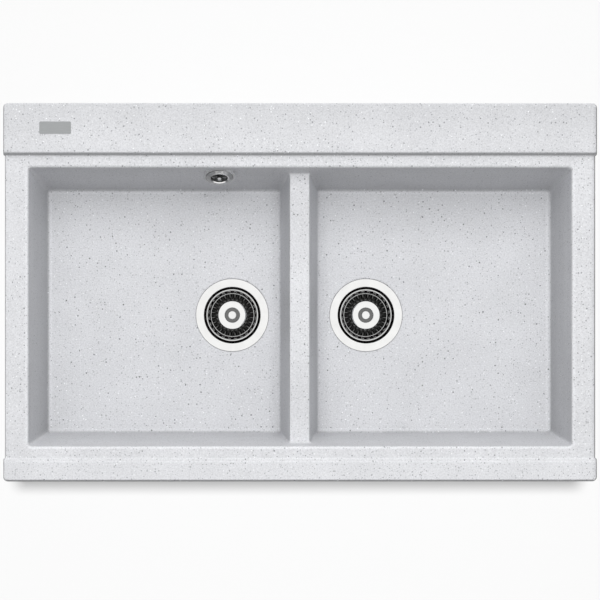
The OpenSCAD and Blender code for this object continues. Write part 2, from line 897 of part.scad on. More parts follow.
module overflow_housing() {
  color("slategray") {
    difference() {
      union() {
        at_overflow()
          translate([0, 0, -gasket_back - housing_flange_t])
            cylinder(r = over_boss_r, h = housing_flange_t);
        at_overflow()
          translate([0, 0, -gasket_back - housing_l])
            cylinder(r = housing_r, h = housing_l);
        translate([-over_x, spigot_y, hose_top_z])
          cylinder(r = hose_valley_r, h = spigot_mid_z - hose_top_z);
        translate([-over_x, spigot_y, hose_top_z - spigot_l])
          cylinder(r = spigot_r, h = spigot_l + collar_t);
      }
      at_overflow()
        translate([0, 0, housing_wall - gasket_back - housing_l])
          cylinder(r = housing_r - housing_wall, h = housing_l);
      translate([-over_x, spigot_y, hose_top_z - spigot_l - over])
        cylinder(r = spigot_bore_r, h = spigot_l + over + spigot_mid_z - hose_top_z);
    }
    at_overflow()
      difference() {
        translate([0, 0, -gasket_back - housing_l])
          cylinder(r = 2 * over_screw_r, h = housing_l - housing_flange_t);
        translate([0, 0, -housing_mid - over])
          cylinder(r = over_screw_r + thread_gap, h = housing_l);
      }
  }
}

// a place on the hose's route, as distance from the waste's axis and height, and its direction
function route(s) =
  s < straight_l ? [hose_start + s, hose_low_z, 0]
  : s < straight_l + arc_l
    ? let (a = (s - straight_l) / arc_l * 90)
      [hose_start + straight_l + bend_r * sin(a), hose_low_z + bend_r * (1 - cos(a)), a]
  : [run_l, hose_low_z + bend_r + s - straight_l - arc_l, 90];

function ring(s, r) =
  let (p = route(s))
  [for (i = [0:hose_sides - 1])
    let (b = (i + 0.5) * 360 / hose_sides)
      [p[0] - r * sin(b) * sin(p[2]), r * cos(b), p[1] + r * sin(b) * cos(p[2])]];

// outside: plain end, ribs of two rings each, plain end. Inside: the bore, walked back again
function outside() = concat(
  [[0, hose_valley_r]],
  [for (i = [0:rib_count - 1]) for (half = [0, 1])
    [plain_l + (i + half / 2) * rib_space, half == 0 ? hose_valley_r : hose_r]],
  [[hose_l - plain_l, hose_valley_r], [hose_l, hose_valley_r]]
);

function inside() = concat(
  [[hose_l, hose_bore_r]],
  [for (i = [bore_steps:-1:0]) [straight_l + arc_l * i / bore_steps, hose_bore_r]],
  [[0, hose_bore_r]]
);

module overflow_hose() {
  rings = concat(outside(), inside());
  n = hose_sides;
  count = len(rings);
  color("darkgray")
    at_drain(LEFT)
      rotate([0, 0, run_turn])
        polyhedron(
          points = [for (k = rings) each ring(k[0], k[1])],
          faces = [for (j = [0:count - 1]) for (i = [0:n - 1])
            let (a = j * n + i, b = j * n + (i + 1) % n, c = (j + 1) % count * n + i,
              d = (j + 1) % count * n + (i + 1) % n)
              each [[a, c, b], [b, c, d]]]
        );
}

module hose_band() {
  band_r = hose_valley_r + lie_gap;
  difference() {
    union() {
      cylinder(r = band_r + hose_clip_t, h = hose_clip_w);
      translate([band_r, -1.5 * hose_clip_t, 0])
        cube([3 * hose_clip_t, 3 * hose_clip_t, hose_clip_w]);
    }
    translate([0, 0, -over])
      cylinder(r = band_r, h = hose_clip_w + 2 * over);
  }
}

module hose_clips() {
  color("silver") {
    translate([-over_x, spigot_y, hose_top_z - collar_t - hose_clip_w])
      hose_band();
    at_drain(LEFT)
      rotate([0, 0, run_turn])
        translate([hose_start + collar_t, 0, hose_low_z])
          rotate([0, 90, 0])
            hose_band();
  }
}

module clip_inserts() {
  color("goldenrod")
    at_clips()
      translate([0, 0, -insert_low])
        difference() {
          cylinder(r = insert_r, h = insert_h);
          translate([0, 0, -over])
            cylinder(r = clip_screw_r + thread_gap, h = insert_h + 2 * over);
        }
}

module clip_screws() {
  color("silver")
    at_clips()
      difference() {
        union() {
          translate([0, 0, -head_top])
            cylinder(r = clip_screw_r, h = head_top - shank_top);
          translate([0, 0, -head_top - clip_head_h])
            cylinder(r = clip_head_r, h = clip_head_h);
        }
        translate([-clip_head_r, -clip_t / 4, -head_top - clip_head_h - over])
          cube([2 * clip_head_r, clip_t / 2, over + clip_head_h / 2]);
      }
}

// one swinging clip, parked along its side of the sink
module clip(number) {
  place = CLIPS[number];
  color("lightsteelblue")
    translate([place[0], place[1], 0])
      rotate([0, 0, place[2]])
        difference() {
          union() {
            translate([0, 0, -arm_low]) {
              cylinder(r = clip_w / 2, h = clip_t);
              translate([0, -clip_w / 2, 0])
                cube([clip_l, clip_w, clip_t]);
              translate([clip_l - tooth_t, -clip_w / 2, 0])
                cube([tooth_t, clip_w, clip_t + tooth_h]);
              translate([clip_w / 2, -bead_w / 2, clip_t / 2])
                cube([clip_l - tooth_t - clip_w / 2, bead_w, clip_t / 2 + bead_h]);
            }
            translate([0, 0, -clip_drop - clip_t / 2])
              cylinder(r = clip_screw_r + 1.25 * clip_t, h = hub_h + clip_t / 2);
          }
          translate([0, 0, -arm_low - over])
            cylinder(r = clip_screw_r + turn_gap, h = clip_t + hub_h + 2 * over);
        }
}

sink_rim();
sink_ledge(-sink_w / 2 - over, -tap_pitch / 2);  // sink_ledge_left
sink_ledge(-tap_pitch / 2, tap_pitch / 2);  // sink_ledge_middle
sink_ledge(tap_pitch / 2, sink_w / 2 + over);  // sink_ledge_right
sink_bowls();
badge_plate();
strainer_flange(LEFT);  // strainer_flange_left
strainer_flange(RIGHT);  // strainer_flange_right
flange_gasket(LEFT);  // flange_gasket_left
flange_gasket(RIGHT);  // flange_gasket_right
floor_gasket(LEFT);  // floor_gasket_left
floor_gasket(RIGHT);  // floor_gasket_right
waste_body(LEFT);  // waste_body_left
waste_body(RIGHT);  // waste_body_right
waste_hub(LEFT);  // waste_hub_left
waste_hub(RIGHT);  // waste_hub_right
waste_outlet(LEFT);  // waste_outlet_left
waste_outlet(RIGHT);  // waste_outlet_right
overflow_inlet();
clamp_screw(LEFT);  // clamp_screw_left
clamp_screw(RIGHT);  // clamp_screw_right
basket(LEFT);  // basket_left
basket(RIGHT);  // basket_right
basket_cap(LEFT);  // basket_cap_left
basket_cap(RIGHT);  // basket_cap_right
basket_post(LEFT);  // basket_post_left
basket_post(RIGHT);  // basket_post_right
basket_seal(LEFT);  // basket_seal_left
basket_seal(RIGHT);  // basket_seal_right
overflow_rosette();
overflow_screw();
overflow_gasket();
overflow_housing();
overflow_hose();
hose_clips();
clip_inserts();
clip_screws();
clip(0);  // clip_right_back
clip(1);  // clip_right_front
clip(2);  // clip_left_back
clip(3);  // clip_left_front
clip(4);  // clip_back_right
clip(5);  // clip_back_left
clip(6);  // clip_front_right
clip(7);  // clip_front_left
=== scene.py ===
import math

import bmesh
import bpy
import numpy as np
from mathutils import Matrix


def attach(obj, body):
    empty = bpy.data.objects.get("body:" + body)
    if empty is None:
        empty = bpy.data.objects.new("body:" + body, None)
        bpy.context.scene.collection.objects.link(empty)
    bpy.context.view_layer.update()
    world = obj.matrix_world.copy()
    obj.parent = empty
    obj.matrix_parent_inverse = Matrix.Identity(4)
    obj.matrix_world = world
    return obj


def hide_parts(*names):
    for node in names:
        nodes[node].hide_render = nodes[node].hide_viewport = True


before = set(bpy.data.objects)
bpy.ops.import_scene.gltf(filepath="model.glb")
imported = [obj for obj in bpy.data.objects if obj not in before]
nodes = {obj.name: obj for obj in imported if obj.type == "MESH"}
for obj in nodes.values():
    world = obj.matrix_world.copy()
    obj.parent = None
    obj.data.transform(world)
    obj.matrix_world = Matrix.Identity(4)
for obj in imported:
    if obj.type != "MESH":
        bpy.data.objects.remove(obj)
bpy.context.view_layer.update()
scene = bpy.context.scene

# heights of the granite body in millimetres, with the underside of the rim at zero

MM = 0.001
RIM, LEDGE, STRIP = 8.0, 13.0, 11.0
FLOOR, UNDER, WALL = -182.0, -191.0, 9.0

# outline of the body: half widths, and where the ledge and the strip begin

HALF_WIDE, HALF_MID, HALF_DEEP = 390.0, 388.0, 248.5
SLOPE_TOP, SLOPE_FOOT = 185.9, 179.4
STEP_TOP, STEP_FOOT = -222.7, -217.5
CORNER, STEP_CORNER = 6.0, 2.5
EDGE_SIDE, EDGE_FRONT, EDGE_BACK, EDGE_LOW = 2.0, 3.2, 1.6, 0.8

# opening of the bowls at the rim, the lean of their walls, and the divider

OPEN_X, OPEN_BACK, OPEN_FRONT = 357.0, 164.1, -202.0
SIDE_LEAN, BACK_LEAN, FRONT_LEAN, DIVIDER_LEAN = np.radians([4.2, 6.9, 3.2, 4.6])
DIVIDER_TOP, DIVIDER_HALF, DIVIDER_SHIFT = -37.0, 12.75, 0.45

# overflow: the middle of its seat, and how far the seat leans back from upright

OVER_X, OVER_Y, OVER_Z, OVER_TILT = -106.7, 152.551, -30.0, np.radians(28.8)

# wastes, and the hose from the left one: straight out, round one bend and up

SIDES = {"left": -1, "right": 1}
DRAIN_X, DRAIN_Y = 91.0, -30.5
CUP_LOW = -224.0
BODY_TOP, CONE_TOP, CONE_LOW, OUTLET_LOW = -194.0, -225.2, -242.2, -268.2
HOSE_TURN = np.radians(94.1606)
HOSE_START, HOSE_LOW, HOSE_TOP, HOSE_RUN, HOSE_BEND = 53.0, -215.0, -70.5174, 216.395, 40.0
VALLEY, RIB, BORE, RIB_COUNT = 10.4839, 11.9839, 8.98386, 55

# rim clips: each swings on a screw here

CLIPS = {"clip_right_back": (371.869, 105), "clip_right_front": (371.869, -105),
         "clip_left_back": (-371.869, 105), "clip_left_front": (-371.869, -105),
         "clip_back_right": (190, 228.5), "clip_back_left": (-190, 228.5),
         "clip_front_right": (190, -228.5), "clip_front_left": (-190, -228.5)}

# a turned solid has this thin bore on its axis, so that its skin closes on itself

AXIS = 0.02

# camera, straight above and far away, as the photograph was taken

camera_data = bpy.data.cameras.new("camera")
camera_data.lens = 239.3
camera_data.sensor_width = 36
camera_data.clip_end = 50
camera = bpy.data.objects.new("camera", camera_data)
camera.location = (-0.0423, -0.0099, 5.248)
camera.rotation_euler = (0, -0.00801, 0)
scene.collection.objects.link(camera)
scene.camera = camera
scene.view_settings.view_transform = "Standard"


# finishes

class Finish:
    """A material whose nodes are added and joined in one call each."""

    def __init__(self, name, base, rough, metal=0.0):
        self.material = bpy.data.materials.new(name)
        self.material.use_nodes = True
        self.tree = self.material.node_tree
        self.shader = self.tree.nodes["Principled BSDF"]
        self.set(self.shader, "Base Color", base)
        self.set(self.shader, "Roughness", rough)
        self.set(self.shader, "Metallic", metal)
        self.place = self.add("ShaderNodeTexCoord").outputs["Object"]

    def set(self, node, socket, value):
        """A number or colour is set on the socket; anything else is joined to it."""
        target = node.inputs[socket]
        if isinstance(value, bpy.types.NodeSocket):
            self.tree.links.new(value, target)
        elif isinstance(value, (tuple, list)) and len(value) == 3 and target.type == "RGBA":
            target.default_value = (*value, 1)
        else:
            target.default_value = value

    def add(self, kind, values=(), **settings):
        """A node of a kind with its settings made and its sockets set or joined."""
        node = self.tree.nodes.new(kind)
        for name, value in settings.items():
            setattr(node, name, value)
        for socket, value in dict(values).items():
            self.set(node, socket, value)
        return node

    def noise(self, scale, detail, place=None):
        """Cloudy noise on the object's own coordinates."""
        values = {"Vector": place or self.place, "Scale": scale, "Detail": detail}
        return self.add("ShaderNodeTexNoise", values).outputs["Fac"]

    def attribute(self, name):
        """A number that was written on the mesh's corners."""
        return self.add("ShaderNodeAttribute", attribute_name=name).outputs["Fac"]

    def ramp(self, value, low, high, start=0.0, end=1.0):
        """start below low, end above high, and a straight line between."""
        values = {0: value, 1: low, 2: high, 3: start, 4: end}
        return self.add("ShaderNodeMapRange", values).outputs[0]

    def work(self, kind, a, b):
        """One kind of sum of two numbers."""
        return self.add("ShaderNodeMath", {0: a, 1: b}, operation=kind).outputs[0]

    def mix(self, share, a, b, blend="MIX"):
        """A share of b laid over a."""
        node = self.add("ShaderNodeMix", data_type="RGBA", blend_type=blend)
        for socket, value in ((0, share), (6, a), (7, b)):
            self.set(node, socket, value)
        return node.outputs[2]

    def times(self, colour, grey):
        """The colour with each of its three parts times the same number."""
        node = self.add("ShaderNodeCombineColor", {0: grey, 1: grey, 2: grey})
        return self.mix(1.0, colour, node.outputs[0], "MULTIPLY")

    def bump(self, height, distance, strength):
        """Fine relief from a height between 0 and 1."""
        values = {"Height": height, "Distance": distance, "Strength": strength}
        self.set(self.shader, "Normal", self.add("ShaderNodeBump", values).outputs[0])

    def specks(self, cell, radius, share):
        """1 in the middle of a share of the cells of a loose packing of grains, 0 between them.
        The grains are 0.55 to 1.25 of the radius. Gives a number to vary each grain by too."""
        grid = {"Vector": self.place, "Scale": 1 / (cell * MM)}
        cells = self.add("ShaderNodeTexVoronoi", grid)
        pick = self.add("ShaderNodeSeparateColor", {0: cells.outputs["Color"]})
        unit = radius / cell
        size = self.ramp(pick.outputs[1], 0, 1, 0.55 * unit, 1.25 * unit)
        past = self.work("SUBTRACT", cells.outputs["Distance"], size)
        dot = self.ramp(past, -0.25 * unit, 0.25 * unit, 1, 0)
        chosen = self.work("LESS_THAN", pick.outputs[0], share)
        return self.work("MULTIPLY", dot, chosen), pick.outputs[2]


# grains of the granite: cell and radius in millimetres, share of the cells, colour, strength

GRAINS = ((3.0, 0.68, 0.5, (0.26, 0.265, 0.28), 0.85),
          (4.4, 0.7, 0.5, (0.97, 0.98, 1.0), 0.9),
          (5.2, 0.82, 0.55, (0.11, 0.115, 0.125), 1.0))


def granite_finish():
    """Pale composite: a soft mottle and fine grain, times the painted shading attribute: painted
    shade down the walls, in their bends, on the ledge's slope and outer edges, and painted
    highlights on the lips; over it many small grey grains, pale ones and fewer dark ones."""
    f = Finish("granite", (0.69, 0.696, 0.718), 0.5)
    mottle = f.ramp(f.noise(16, 3), 0.35, 0.65)
    colour = f.mix(mottle, (0.695, 0.701, 0.722), (0.73, 0.736, 0.758))
    grain = f.ramp(f.noise(560, 2), 0.3, 0.7, 0.87, 1.1)
    colour = f.times(colour, f.work("MULTIPLY", f.attribute("painted_shading"), grain))
    for cell, radius, share, tint, strength in GRAINS:
        mask, pick = f.specks(cell, radius, share)
        cover = f.work("MULTIPLY", mask, f.ramp(pick, 0, 1, 0.5 * strength, strength))
        colour = f.mix(cover, colour, tint)
    f.set(f.shader, "Base Color", colour)
    f.set(f.shader, "Roughness", f.ramp(f.noise(300, 3), 0.3, 0.7, 0.44, 0.6))
    f.bump(f.noise(700, 3), 0.00006, 0.6)
    return f.material


def steel_finish(name, bright, painted_dark, rough):
    """Steel whose painted reflection attribute goes from painted dark, for the shade and dark
    reflections in the cup, to bright, with thin clouds in its colour and fine uneven marks in
    its gloss."""
    f = Finish(name, bright, rough, 1.0)
    cloud = f.ramp(f.noise(60, 3), 0.3, 0.7, 0.96, 1.03)
    f.set(f.shader, "Base Color", f.times(f.mix(f.attribute("painted_reflection"), painted_dark, bright), cloud))
    marks = f.noise(900, 2)
    f.set(f.shader, "Roughness", f.ramp(marks, 0.3, 0.7, rough * 0.8, rough * 1.3))
    f.bump(marks, 0.00001, 0.5)
    return f.material


def plated_metal(name, base, tint, rough):
    """Plated or cast metal: two close colours in clouds, with a fine uneven grain."""
    f = Finish(name, base, rough, 1.0)
    f.set(f.shader, "Base Color", f.mix(f.ramp(f.noise(180, 4), 0.35, 0.65), base, tint))
    grain = f.noise(1080, 3)
    f.set(f.shader, "Roughness", f.ramp(grain, 0.3, 0.7, rough * 0.75, rough * 1.35))
    f.bump(f.noise(1620, 2), 0.00002, 0.6)
    return f.material


def moulded(name, base, tint, rough):
    """Moulded plastic or rubber: a slight cloud in the colour and a fine matte grain."""
    f = Finish(name, base, rough)
    f.set(f.shader, "Base Color", f.mix(f.ramp(f.noise(70, 3), 0.3, 0.7), base, tint))
    grain = f.noise(1400 / 3, 2)
    f.set(f.shader, "Roughness", f.ramp(grain, 0.3, 0.7, rough * 0.85, rough * 1.15))
    f.bump(f.noise(1400, 2), 0.00003, 0.7)
    return f.material


def brushed_plate():
    """Satin plate brushed along X: noise drawn out along the plate, in colour and gloss."""
    f = Finish("badge_metal", (0.345, 0.355, 0.36), 0.42, 0.35)
    drawn = f.add("ShaderNodeMapping", {"Vector": f.place, "Scale": (0.03, 1, 1)}).outputs[0]
    lines = f.noise(2600, 2, drawn)
    streaks = f.mix(f.ramp(lines, 0.3, 0.7), (0.315, 0.325, 0.33), (0.375, 0.385, 0.39))
    f.set(f.shader, "Base Color", streaks)
    f.set(f.shader, "Roughness", f.ramp(lines, 0.3, 0.7, 0.36, 0.5))
    f.bump(lines, 0.00001, 0.5)
    return f.material


GRANITE = granite_finish()
# the second colour, near black, is painted shade and painted dark reflection
STEEL = steel_finish("bright_steel", (0.9, 0.9, 0.89), (0.005, 0.0048, 0.0046), 0.12)
BADGE = brushed_plate()
ZINC = plated_metal("zinc_steel", (0.62, 0.63, 0.65), (0.7, 0.69, 0.64), 0.32)
BRASS = plated_metal("brass", (0.72, 0.52, 0.22), (0.66, 0.46, 0.2), 0.3)
RUBBER = moulded("rubber", (0.03, 0.03, 0.032), (0.045, 0.045, 0.047), 0.72)
PLASTIC = moulded("plastic", (0.6, 0.61, 0.62), (0.66, 0.67, 0.68), 0.42)
HOSE = moulded("hose_plastic", (0.5, 0.51, 0.52), (0.56, 0.57, 0.58), 0.5)


# shapes, as arrays of points and faces

def sheet_faces(rows, columns, round_rows, round_columns):
    """Four corners for each cell of a grid of points, going round where it closes on itself."""
    r = np.arange(rows if round_rows else rows - 1)
    c = np.arange(columns if round_columns else columns - 1)
    a, b = np.meshgrid(r, c, indexing="ij")
    a2, b2 = (a + 1) % rows, (b + 1) % columns
    cells = [a * columns + b, a2 * columns + b, a2 * columns + b2, a * columns + b2]
    return np.stack(cells, -1).reshape(-1, 4)


def rounded(points, radius, steps=4):
    """A closed outline whose corners become arcs of a parabola, (1 - t)^2 start + 2 t (1 - t)
    corner + t^2 end. Each starts and ends where a circle of the radius would touch the sides,
    or at 0.45 of the shorter side if that is less."""
    p = np.array(points, float)
    r = np.broadcast_to(np.array(radius, float), len(p))
    before, after = np.roll(p, 1, 0) - p, np.roll(p, -1, 0) - p
    lb, la = np.linalg.norm(before, axis=1), np.linalg.norm(after, axis=1)
    ub, ua = before / lb[:, None], after / la[:, None]
    half = np.arccos(np.clip((ub * ua).sum(1), -1, 1)) / 2
    reach = np.minimum(r / np.tan(half), 0.45 * np.minimum(lb, la))[:, None]
    t = np.linspace(0, 1, steps + 1)[None, :, None]
    start, end = (p + ub * reach)[:, None], (p + ua * reach)[:, None]
    return ((1 - t) ** 2 * start + 2 * t * (1 - t) * p[:, None] + t ** 2 * end).reshape(-1, 2)


def lathe(outline, at=(0, 0), steps=144, thread=None):
    """A closed outline of (radius, height) turned round an axis: x = r cos a, y = r sin a.
    thread gives a depth to take from the radius at each angle and height."""
    a = np.arange(steps) * 2 * np.pi / steps
    p = np.array(outline, float)
    r = np.repeat(p[:, :1], steps, 1)
    z = np.repeat(p[:, 1:], steps, 1)
    if thread:
        r = r - thread(a[None, :], r, z)
    points = np.stack([at[0] + r * np.cos(a), at[1] + r * np.sin(a), z], -1).reshape(-1, 3)
    return points, sheet_faces(len(p), steps, True, True)


def saw(height, angle, pitch):
    """A zigzag between 0 and 1 that climbs by one pitch a turn."""
    return np.abs((height / pitch + angle / (2 * np.pi)) % 1 - 0.5) * 2


def prism(outline, low, high):
    """A flat outline drawn straight up from low to high, with a flat face at each end."""
    p = np.array(outline, float)
    n = len(p)
    points = np.concatenate([np.c_[p, np.full(n, low)], np.c_[p, np.full(n, high)]])
    i = np.arange(n)
    sides = np.stack([i, (i + 1) % n, n + (i + 1) % n, n + i], -1)
    return points, [*sides.tolist(), i[::-1].tolist(), (n + i).tolist()]


def arc(radius, start, end, steps):
    """Points on a circle, from one angle to another in degrees: r cos a, r sin a."""
    a = np.radians(np.linspace(start, end, steps + 1))
    return np.c_[radius * np.cos(a), radius * np.sin(a)]


def rod(radius, low, high, sides=96):
    """A round rod along Z, as a prism with many sides."""
    return prism(arc(radius, 0, 360 - 360 / sides, sides - 1), low, high)


def moved(shape, turn=None, to=(0, 0, 0)):
    """The same shape turned by a 3 by 3 matrix and then carried to a place."""
    points = shape[0] if turn is None else shape[0] @ np.array(turn, float).T
    return points + np.array(to, float), shape[1]


def turn_z(degrees):
    """The matrix of a turn about Z."""
    c, s = math.cos(math.radians(degrees)), math.sin(math.radians(degrees))
    return [[c, -s, 0], [s, c, 0], [0, 0, 1]]


def mesh_of(name, shapes):
    """All shapes, in millimetres, in one mesh in metres."""
    points, faces, start = [], [], 0
    for p, f in shapes:
        points.append(p)
        rows = f.tolist() if hasattr(f, "tolist") else f
        faces += [[start + i for i in face] for face in rows]
        start += len(p)
    mesh = bpy.data.meshes.new(name)
    mesh.from_pydata((np.concatenate(points) * MM).tolist(), [], faces)
    return mesh


def outward(mesh, close=False):
    """Corners that no face uses go, the gaps that a cut leaves are closed where that is asked
    for, and every closed shell's faces are turned to point out of it."""
    bm = bmesh.new()
    bm.from_mesh(mesh)
    bmesh.ops.delete(bm, geom=[v for v in bm.verts if not v.link_faces], context="VERTS")
    if close:
        bmesh.ops.holes_fill(bm, edges=[e for e in bm.edges if e.is_boundary])
    bmesh.ops.recalc_face_normals(bm, faces=bm.faces)
    bm.to_mesh(mesh)
    bm.free()


def corners(mesh):
    """The mesh's corners in millimetres."""
    co = np.empty(len(mesh.vertices) * 3)
    mesh.vertices.foreach_get("co", co)
    return co.reshape(-1, 3) / MM


def write(mesh, name, value):
    """Writes an attribute: one number, or a function of the corners in millimetres."""
    co = corners(mesh)
    numbers = np.broadcast_to(value(co) if callable(value) else value, len(co))
    data = mesh.attributes.new(name, "FLOAT", "POINT").data
    data.foreach_set("value", numbers.astype(np.float32))


def in_scene(name, data):
    """A new object in the scene, of a mesh or a lamp."""
    obj = bpy.data.objects.new(name, data)
    scene.collection.objects.link(obj)
    return obj


def finished(obj):
    """The object's mesh with what its modifiers do."""
    graph = bpy.context.evaluated_depsgraph_get()
    return bpy.data.meshes.new_from_object(obj.evaluated_get(graph))


def settle(obj):
    """Puts what the modifiers do into the mesh and takes them off."""
    obj.data = finished(obj)
    obj.modifiers.clear()


def dress(obj, finish, body, replaced, glow=None, sharp=40):
    """Gives a piece its finish, the body that it rides on and the nodes that it stands for."""
    mesh = obj.data
    mesh.materials.clear()
    mesh.materials.append(finish)
    mesh.polygons.foreach_set("use_smooth", [True] * len(mesh.polygons))
    mesh.set_sharp_from_angle(angle=math.radians(sharp))
    # glow: painted reflection and painted shade, written as an attribute
    if glow is not None:
        write(mesh, "painted_reflection", glow)
    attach(obj, body)
    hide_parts(*replaced)
    return obj


def built(name, shapes, finish, body, replaced, glow=None, sharp=40):
    """A piece made of closed shapes."""
    mesh = mesh_of(name, shapes)
    outward(mesh)
    return dress(in_scene(name, mesh), finish, body, replaced, glow, sharp)


def merged_copy(node, name):
    """A copy of a CAD node's mesh with its corners joined and its flat faces whole."""
    bm = bmesh.new()
    bm.from_mesh(nodes[node].data)
    bmesh.ops.remove_doubles(bm, verts=bm.verts, dist=0.002 * MM)
    flat = math.radians(0.4)
    bmesh.ops.dissolve_limit(bm, angle_limit=flat, verts=bm.verts, edges=bm.edges)
    mesh = bpy.data.meshes.new(name)
    bm.to_mesh(mesh)
    bm.free()
    return mesh


def eased(node, name, finish, body, width, glow=None, segments=2):
    """A CAD node with its sharp edges eased by a small bevel, as pressing or moulding leaves
    them. An attribute is written after the bevel, so that its corners have it too."""
    obj = in_scene(name, merged_copy(node, name))
    dress(obj, finish, body, [node], None, 180)
    bevel = obj.modifiers.new("eased edges", "BEVEL")
    bevel.width = width * MM
    bevel.segments = segments
    bevel.limit_method = "ANGLE"
    bevel.angle_limit = math.radians(28)
    bevel.use_clamp_overlap = True
    normals = obj.modifiers.new("flat faces", "WEIGHTED_NORMAL")
    normals.keep_sharp = True
    normals.weight = 80
    # glow: painted reflection and painted shade, written as an attribute
    if glow is not None:
        settle(obj)
        write(obj.data, "painted_reflection", glow)


def joined(obj, shapes, operation):
    """The exact union or difference of a piece and a set of solids, which are then thrown away."""
    mesh = mesh_of("tools", shapes)
    outward(mesh)
    tool = in_scene("tools", mesh)
    cut = obj.modifiers.new("cut", "BOOLEAN")
    cut.operation, cut.solver, cut.object = operation, "EXACT", tool
    cut.use_self = False
    made = finished(obj)
    obj.modifiers.remove(cut)
    bpy.data.objects.remove(tool)
    obj.data = made


# painted shading of the granite: pairs of a place along the depth in millimetres and its value

FLOOR_PAINTED_SHADE = ((-195, 0.86), (-173, 0.87), (-141, 0.896), (-124, 0.923), (-108, 0.943),
              (-75, 0.985), (-40, 1), (90, 1), (120, 0.955), (137, 0.88), (150, 0.87))
DIVIDER_PAINTED_LIGHT = ((-190, 0.9), (-150, 0.93), (-60, 1.035), (150, 1.04))
LEDGE_PAINTED_SHADE = ((186, 0.985), (245, 0.885))
# painted highlight on the front strip, painted shade on the overflow's boss
STRIP_PAINTED_LIGHT, BOSS_PAINTED_SHADE = 1.027, 0.8

# walls: how far from each its own painted shade reaches, and how softly that ends

WALL_REACH = {"left": 3.2, "right": 1.7, "front": 3.4, "back": 4.0, "divider": 1.5}
REACH_SOFT = 1.4

# painted shade lines in the bends between walls and floor: their middle, half width and strength

BEND_SHADE = {"left": (1.6, 1.3, 0.14), "front": (1.8, 1.1, 0.3), "back": (1.6, 1.3, 0.06)}


def along(y, pairs):
    """Straight lines between the tones of pairs."""
    places, tones = zip(*pairs)
    return np.interp(y, places, tones)


def band(value, middle, half):
    """1 at the middle, falling off as a bell curve."""
    return np.exp(-((value - middle) / half) ** 2)


def wall_gaps(x, y, z):
    """Level gaps to the side walls, the back and front walls and the divider's faces."""
    rise = RIM - z
    side = OPEN_X - rise * np.tan(SIDE_LEAN) - np.abs(x)
    back = OPEN_BACK - rise * np.tan(BACK_LEAN) - y
    front = y - OPEN_FRONT - rise * np.tan(FRONT_LEAN)
    middle = np.abs(x) - DIVIDER_HALF - (DIVIDER_TOP - z) * np.tan(DIVIDER_LEAN)
    return side, back, front, middle


def outline_half(y):
    """Half the width of the outline: 390 along the ledge and the strip, 388 between, with arcs
    at the steps."""
    past = (SLOPE_FOOT + STEP_CORNER - y, y - STEP_FOOT + STEP_CORNER)
    back, front = [HALF_WIDE - STEP_CORNER + np.sqrt(np.clip(STEP_CORNER ** 2 - p ** 2, 0, None))
                   for p in past]
    wide = (y > SLOPE_FOOT + STEP_CORNER) | (y < STEP_FOOT - STEP_CORNER)
    return np.where(wide, HALF_WIDE, np.maximum(HALF_MID, np.where(y > 0, back, front)))


def bowl_painted_shading(x, y, z, gaps):
    """Painted shade in the bowls: the floor is painted darker along the walls, with a painted
    highlight on a line where it starts. Every wall is painted darker from its lip to its foot,
    with a painted dark line of shade in the bend."""
    side, back, front, middle = gaps
    deep = np.clip((RIM - z) / (RIM - FLOOR), 0, 1)
    low = np.clip((DIVIDER_TOP - z) / (DIVIDER_TOP - FLOOR), 0, 1)
    foot = deep > 0.95
    # painted light: the walls a little lighter towards the back
    tilt = 1 + 0.0008 * (y + 10)
    # painted shade: the floor darker near the side walls and the divider
    near = np.clip(np.minimum(side, middle + 12), 0, None)
    # painted highlight: a lighter line on the floor just past each wall's bend
    line = np.maximum(band(side, 5.6, 1.5), band(back, 5.6, 1.5))
    line = np.maximum(line, band(front, 5.8, 1.7))
    floor = 1.02 * along(y, FLOOR_PAINTED_SHADE) * (1 - 0.12 * np.exp(-near / 30)) * (1 + 0.1 * line)
    inside = (side > -1) * (back > -1) * (front > -1) * (middle > -1) * (z < -60)
    painted_shading = np.where(inside, floor, 1.0)
    walls = (z < RIM - 2) * (z > FLOOR + 0.2)

    def lay(painted_shading, gap, reach, value):
        """A wall's own painted shading where the gap to it is less than reach."""
        share = np.clip((reach - gap) / REACH_SOFT, 0, 1) * (gap > -2.6) * walls
        return painted_shading * (1 - share) + share * value

    def bend(gap, wall):
        """What the painted dark line of shade in a wall's bend leaves of the painted shading."""
        at, half, strength = BEND_SHADE[wall]
        return 1 - strength * band(gap, at, half) * foot

    gap = np.where(z > DIVIDER_TOP - 1.5, np.inf, middle)
    painted_shading = lay(painted_shading, gap, WALL_REACH["divider"], (1.1 - 0.3 * low) * tilt)
    left = x < 0
    shade = (1.09 - 0.3 * deep - 0.1 * deep ** 2) * tilt * np.where(left, bend(side, "left"), 1)
    painted_shading = lay(painted_shading, side, np.where(left, WALL_REACH["left"], WALL_REACH["right"]), shade)
    shade = (1.07 - 0.17 * deep) * bend(front, "front")
    painted_shading = lay(painted_shading, front, WALL_REACH["front"], shade)
    shade = (0.94 - 0.25 * deep ** 2) * bend(back, "back")
    return lay(painted_shading, back, WALL_REACH["back"], shade)


def edge_shade(x, y, z):
    """What the painted shade on the outer edges leaves of the painted shading: least on the right
    and in front, and all of it further down their sides."""
    gap = outline_half(y) - np.abs(x)
    right = x > 0
    share = np.where(right, 0.6, np.where(y > 180, 0.3, 0.23))
    share = share * np.clip(np.where(right, 2.2, 1.9) - gap, 0, 1)
    ahead = -HALF_DEEP - y
    fall = 0.5 * np.clip(2.9 + ahead, 0, 1) + 0.3 * np.clip((1.2 + ahead) / 0.8, 0, 1)
    side = 1 - share * np.clip((z - 2) / 2.5, 0, 1)
    return side * (1 - fall * np.clip((z - 2) / 3, 0, 1))


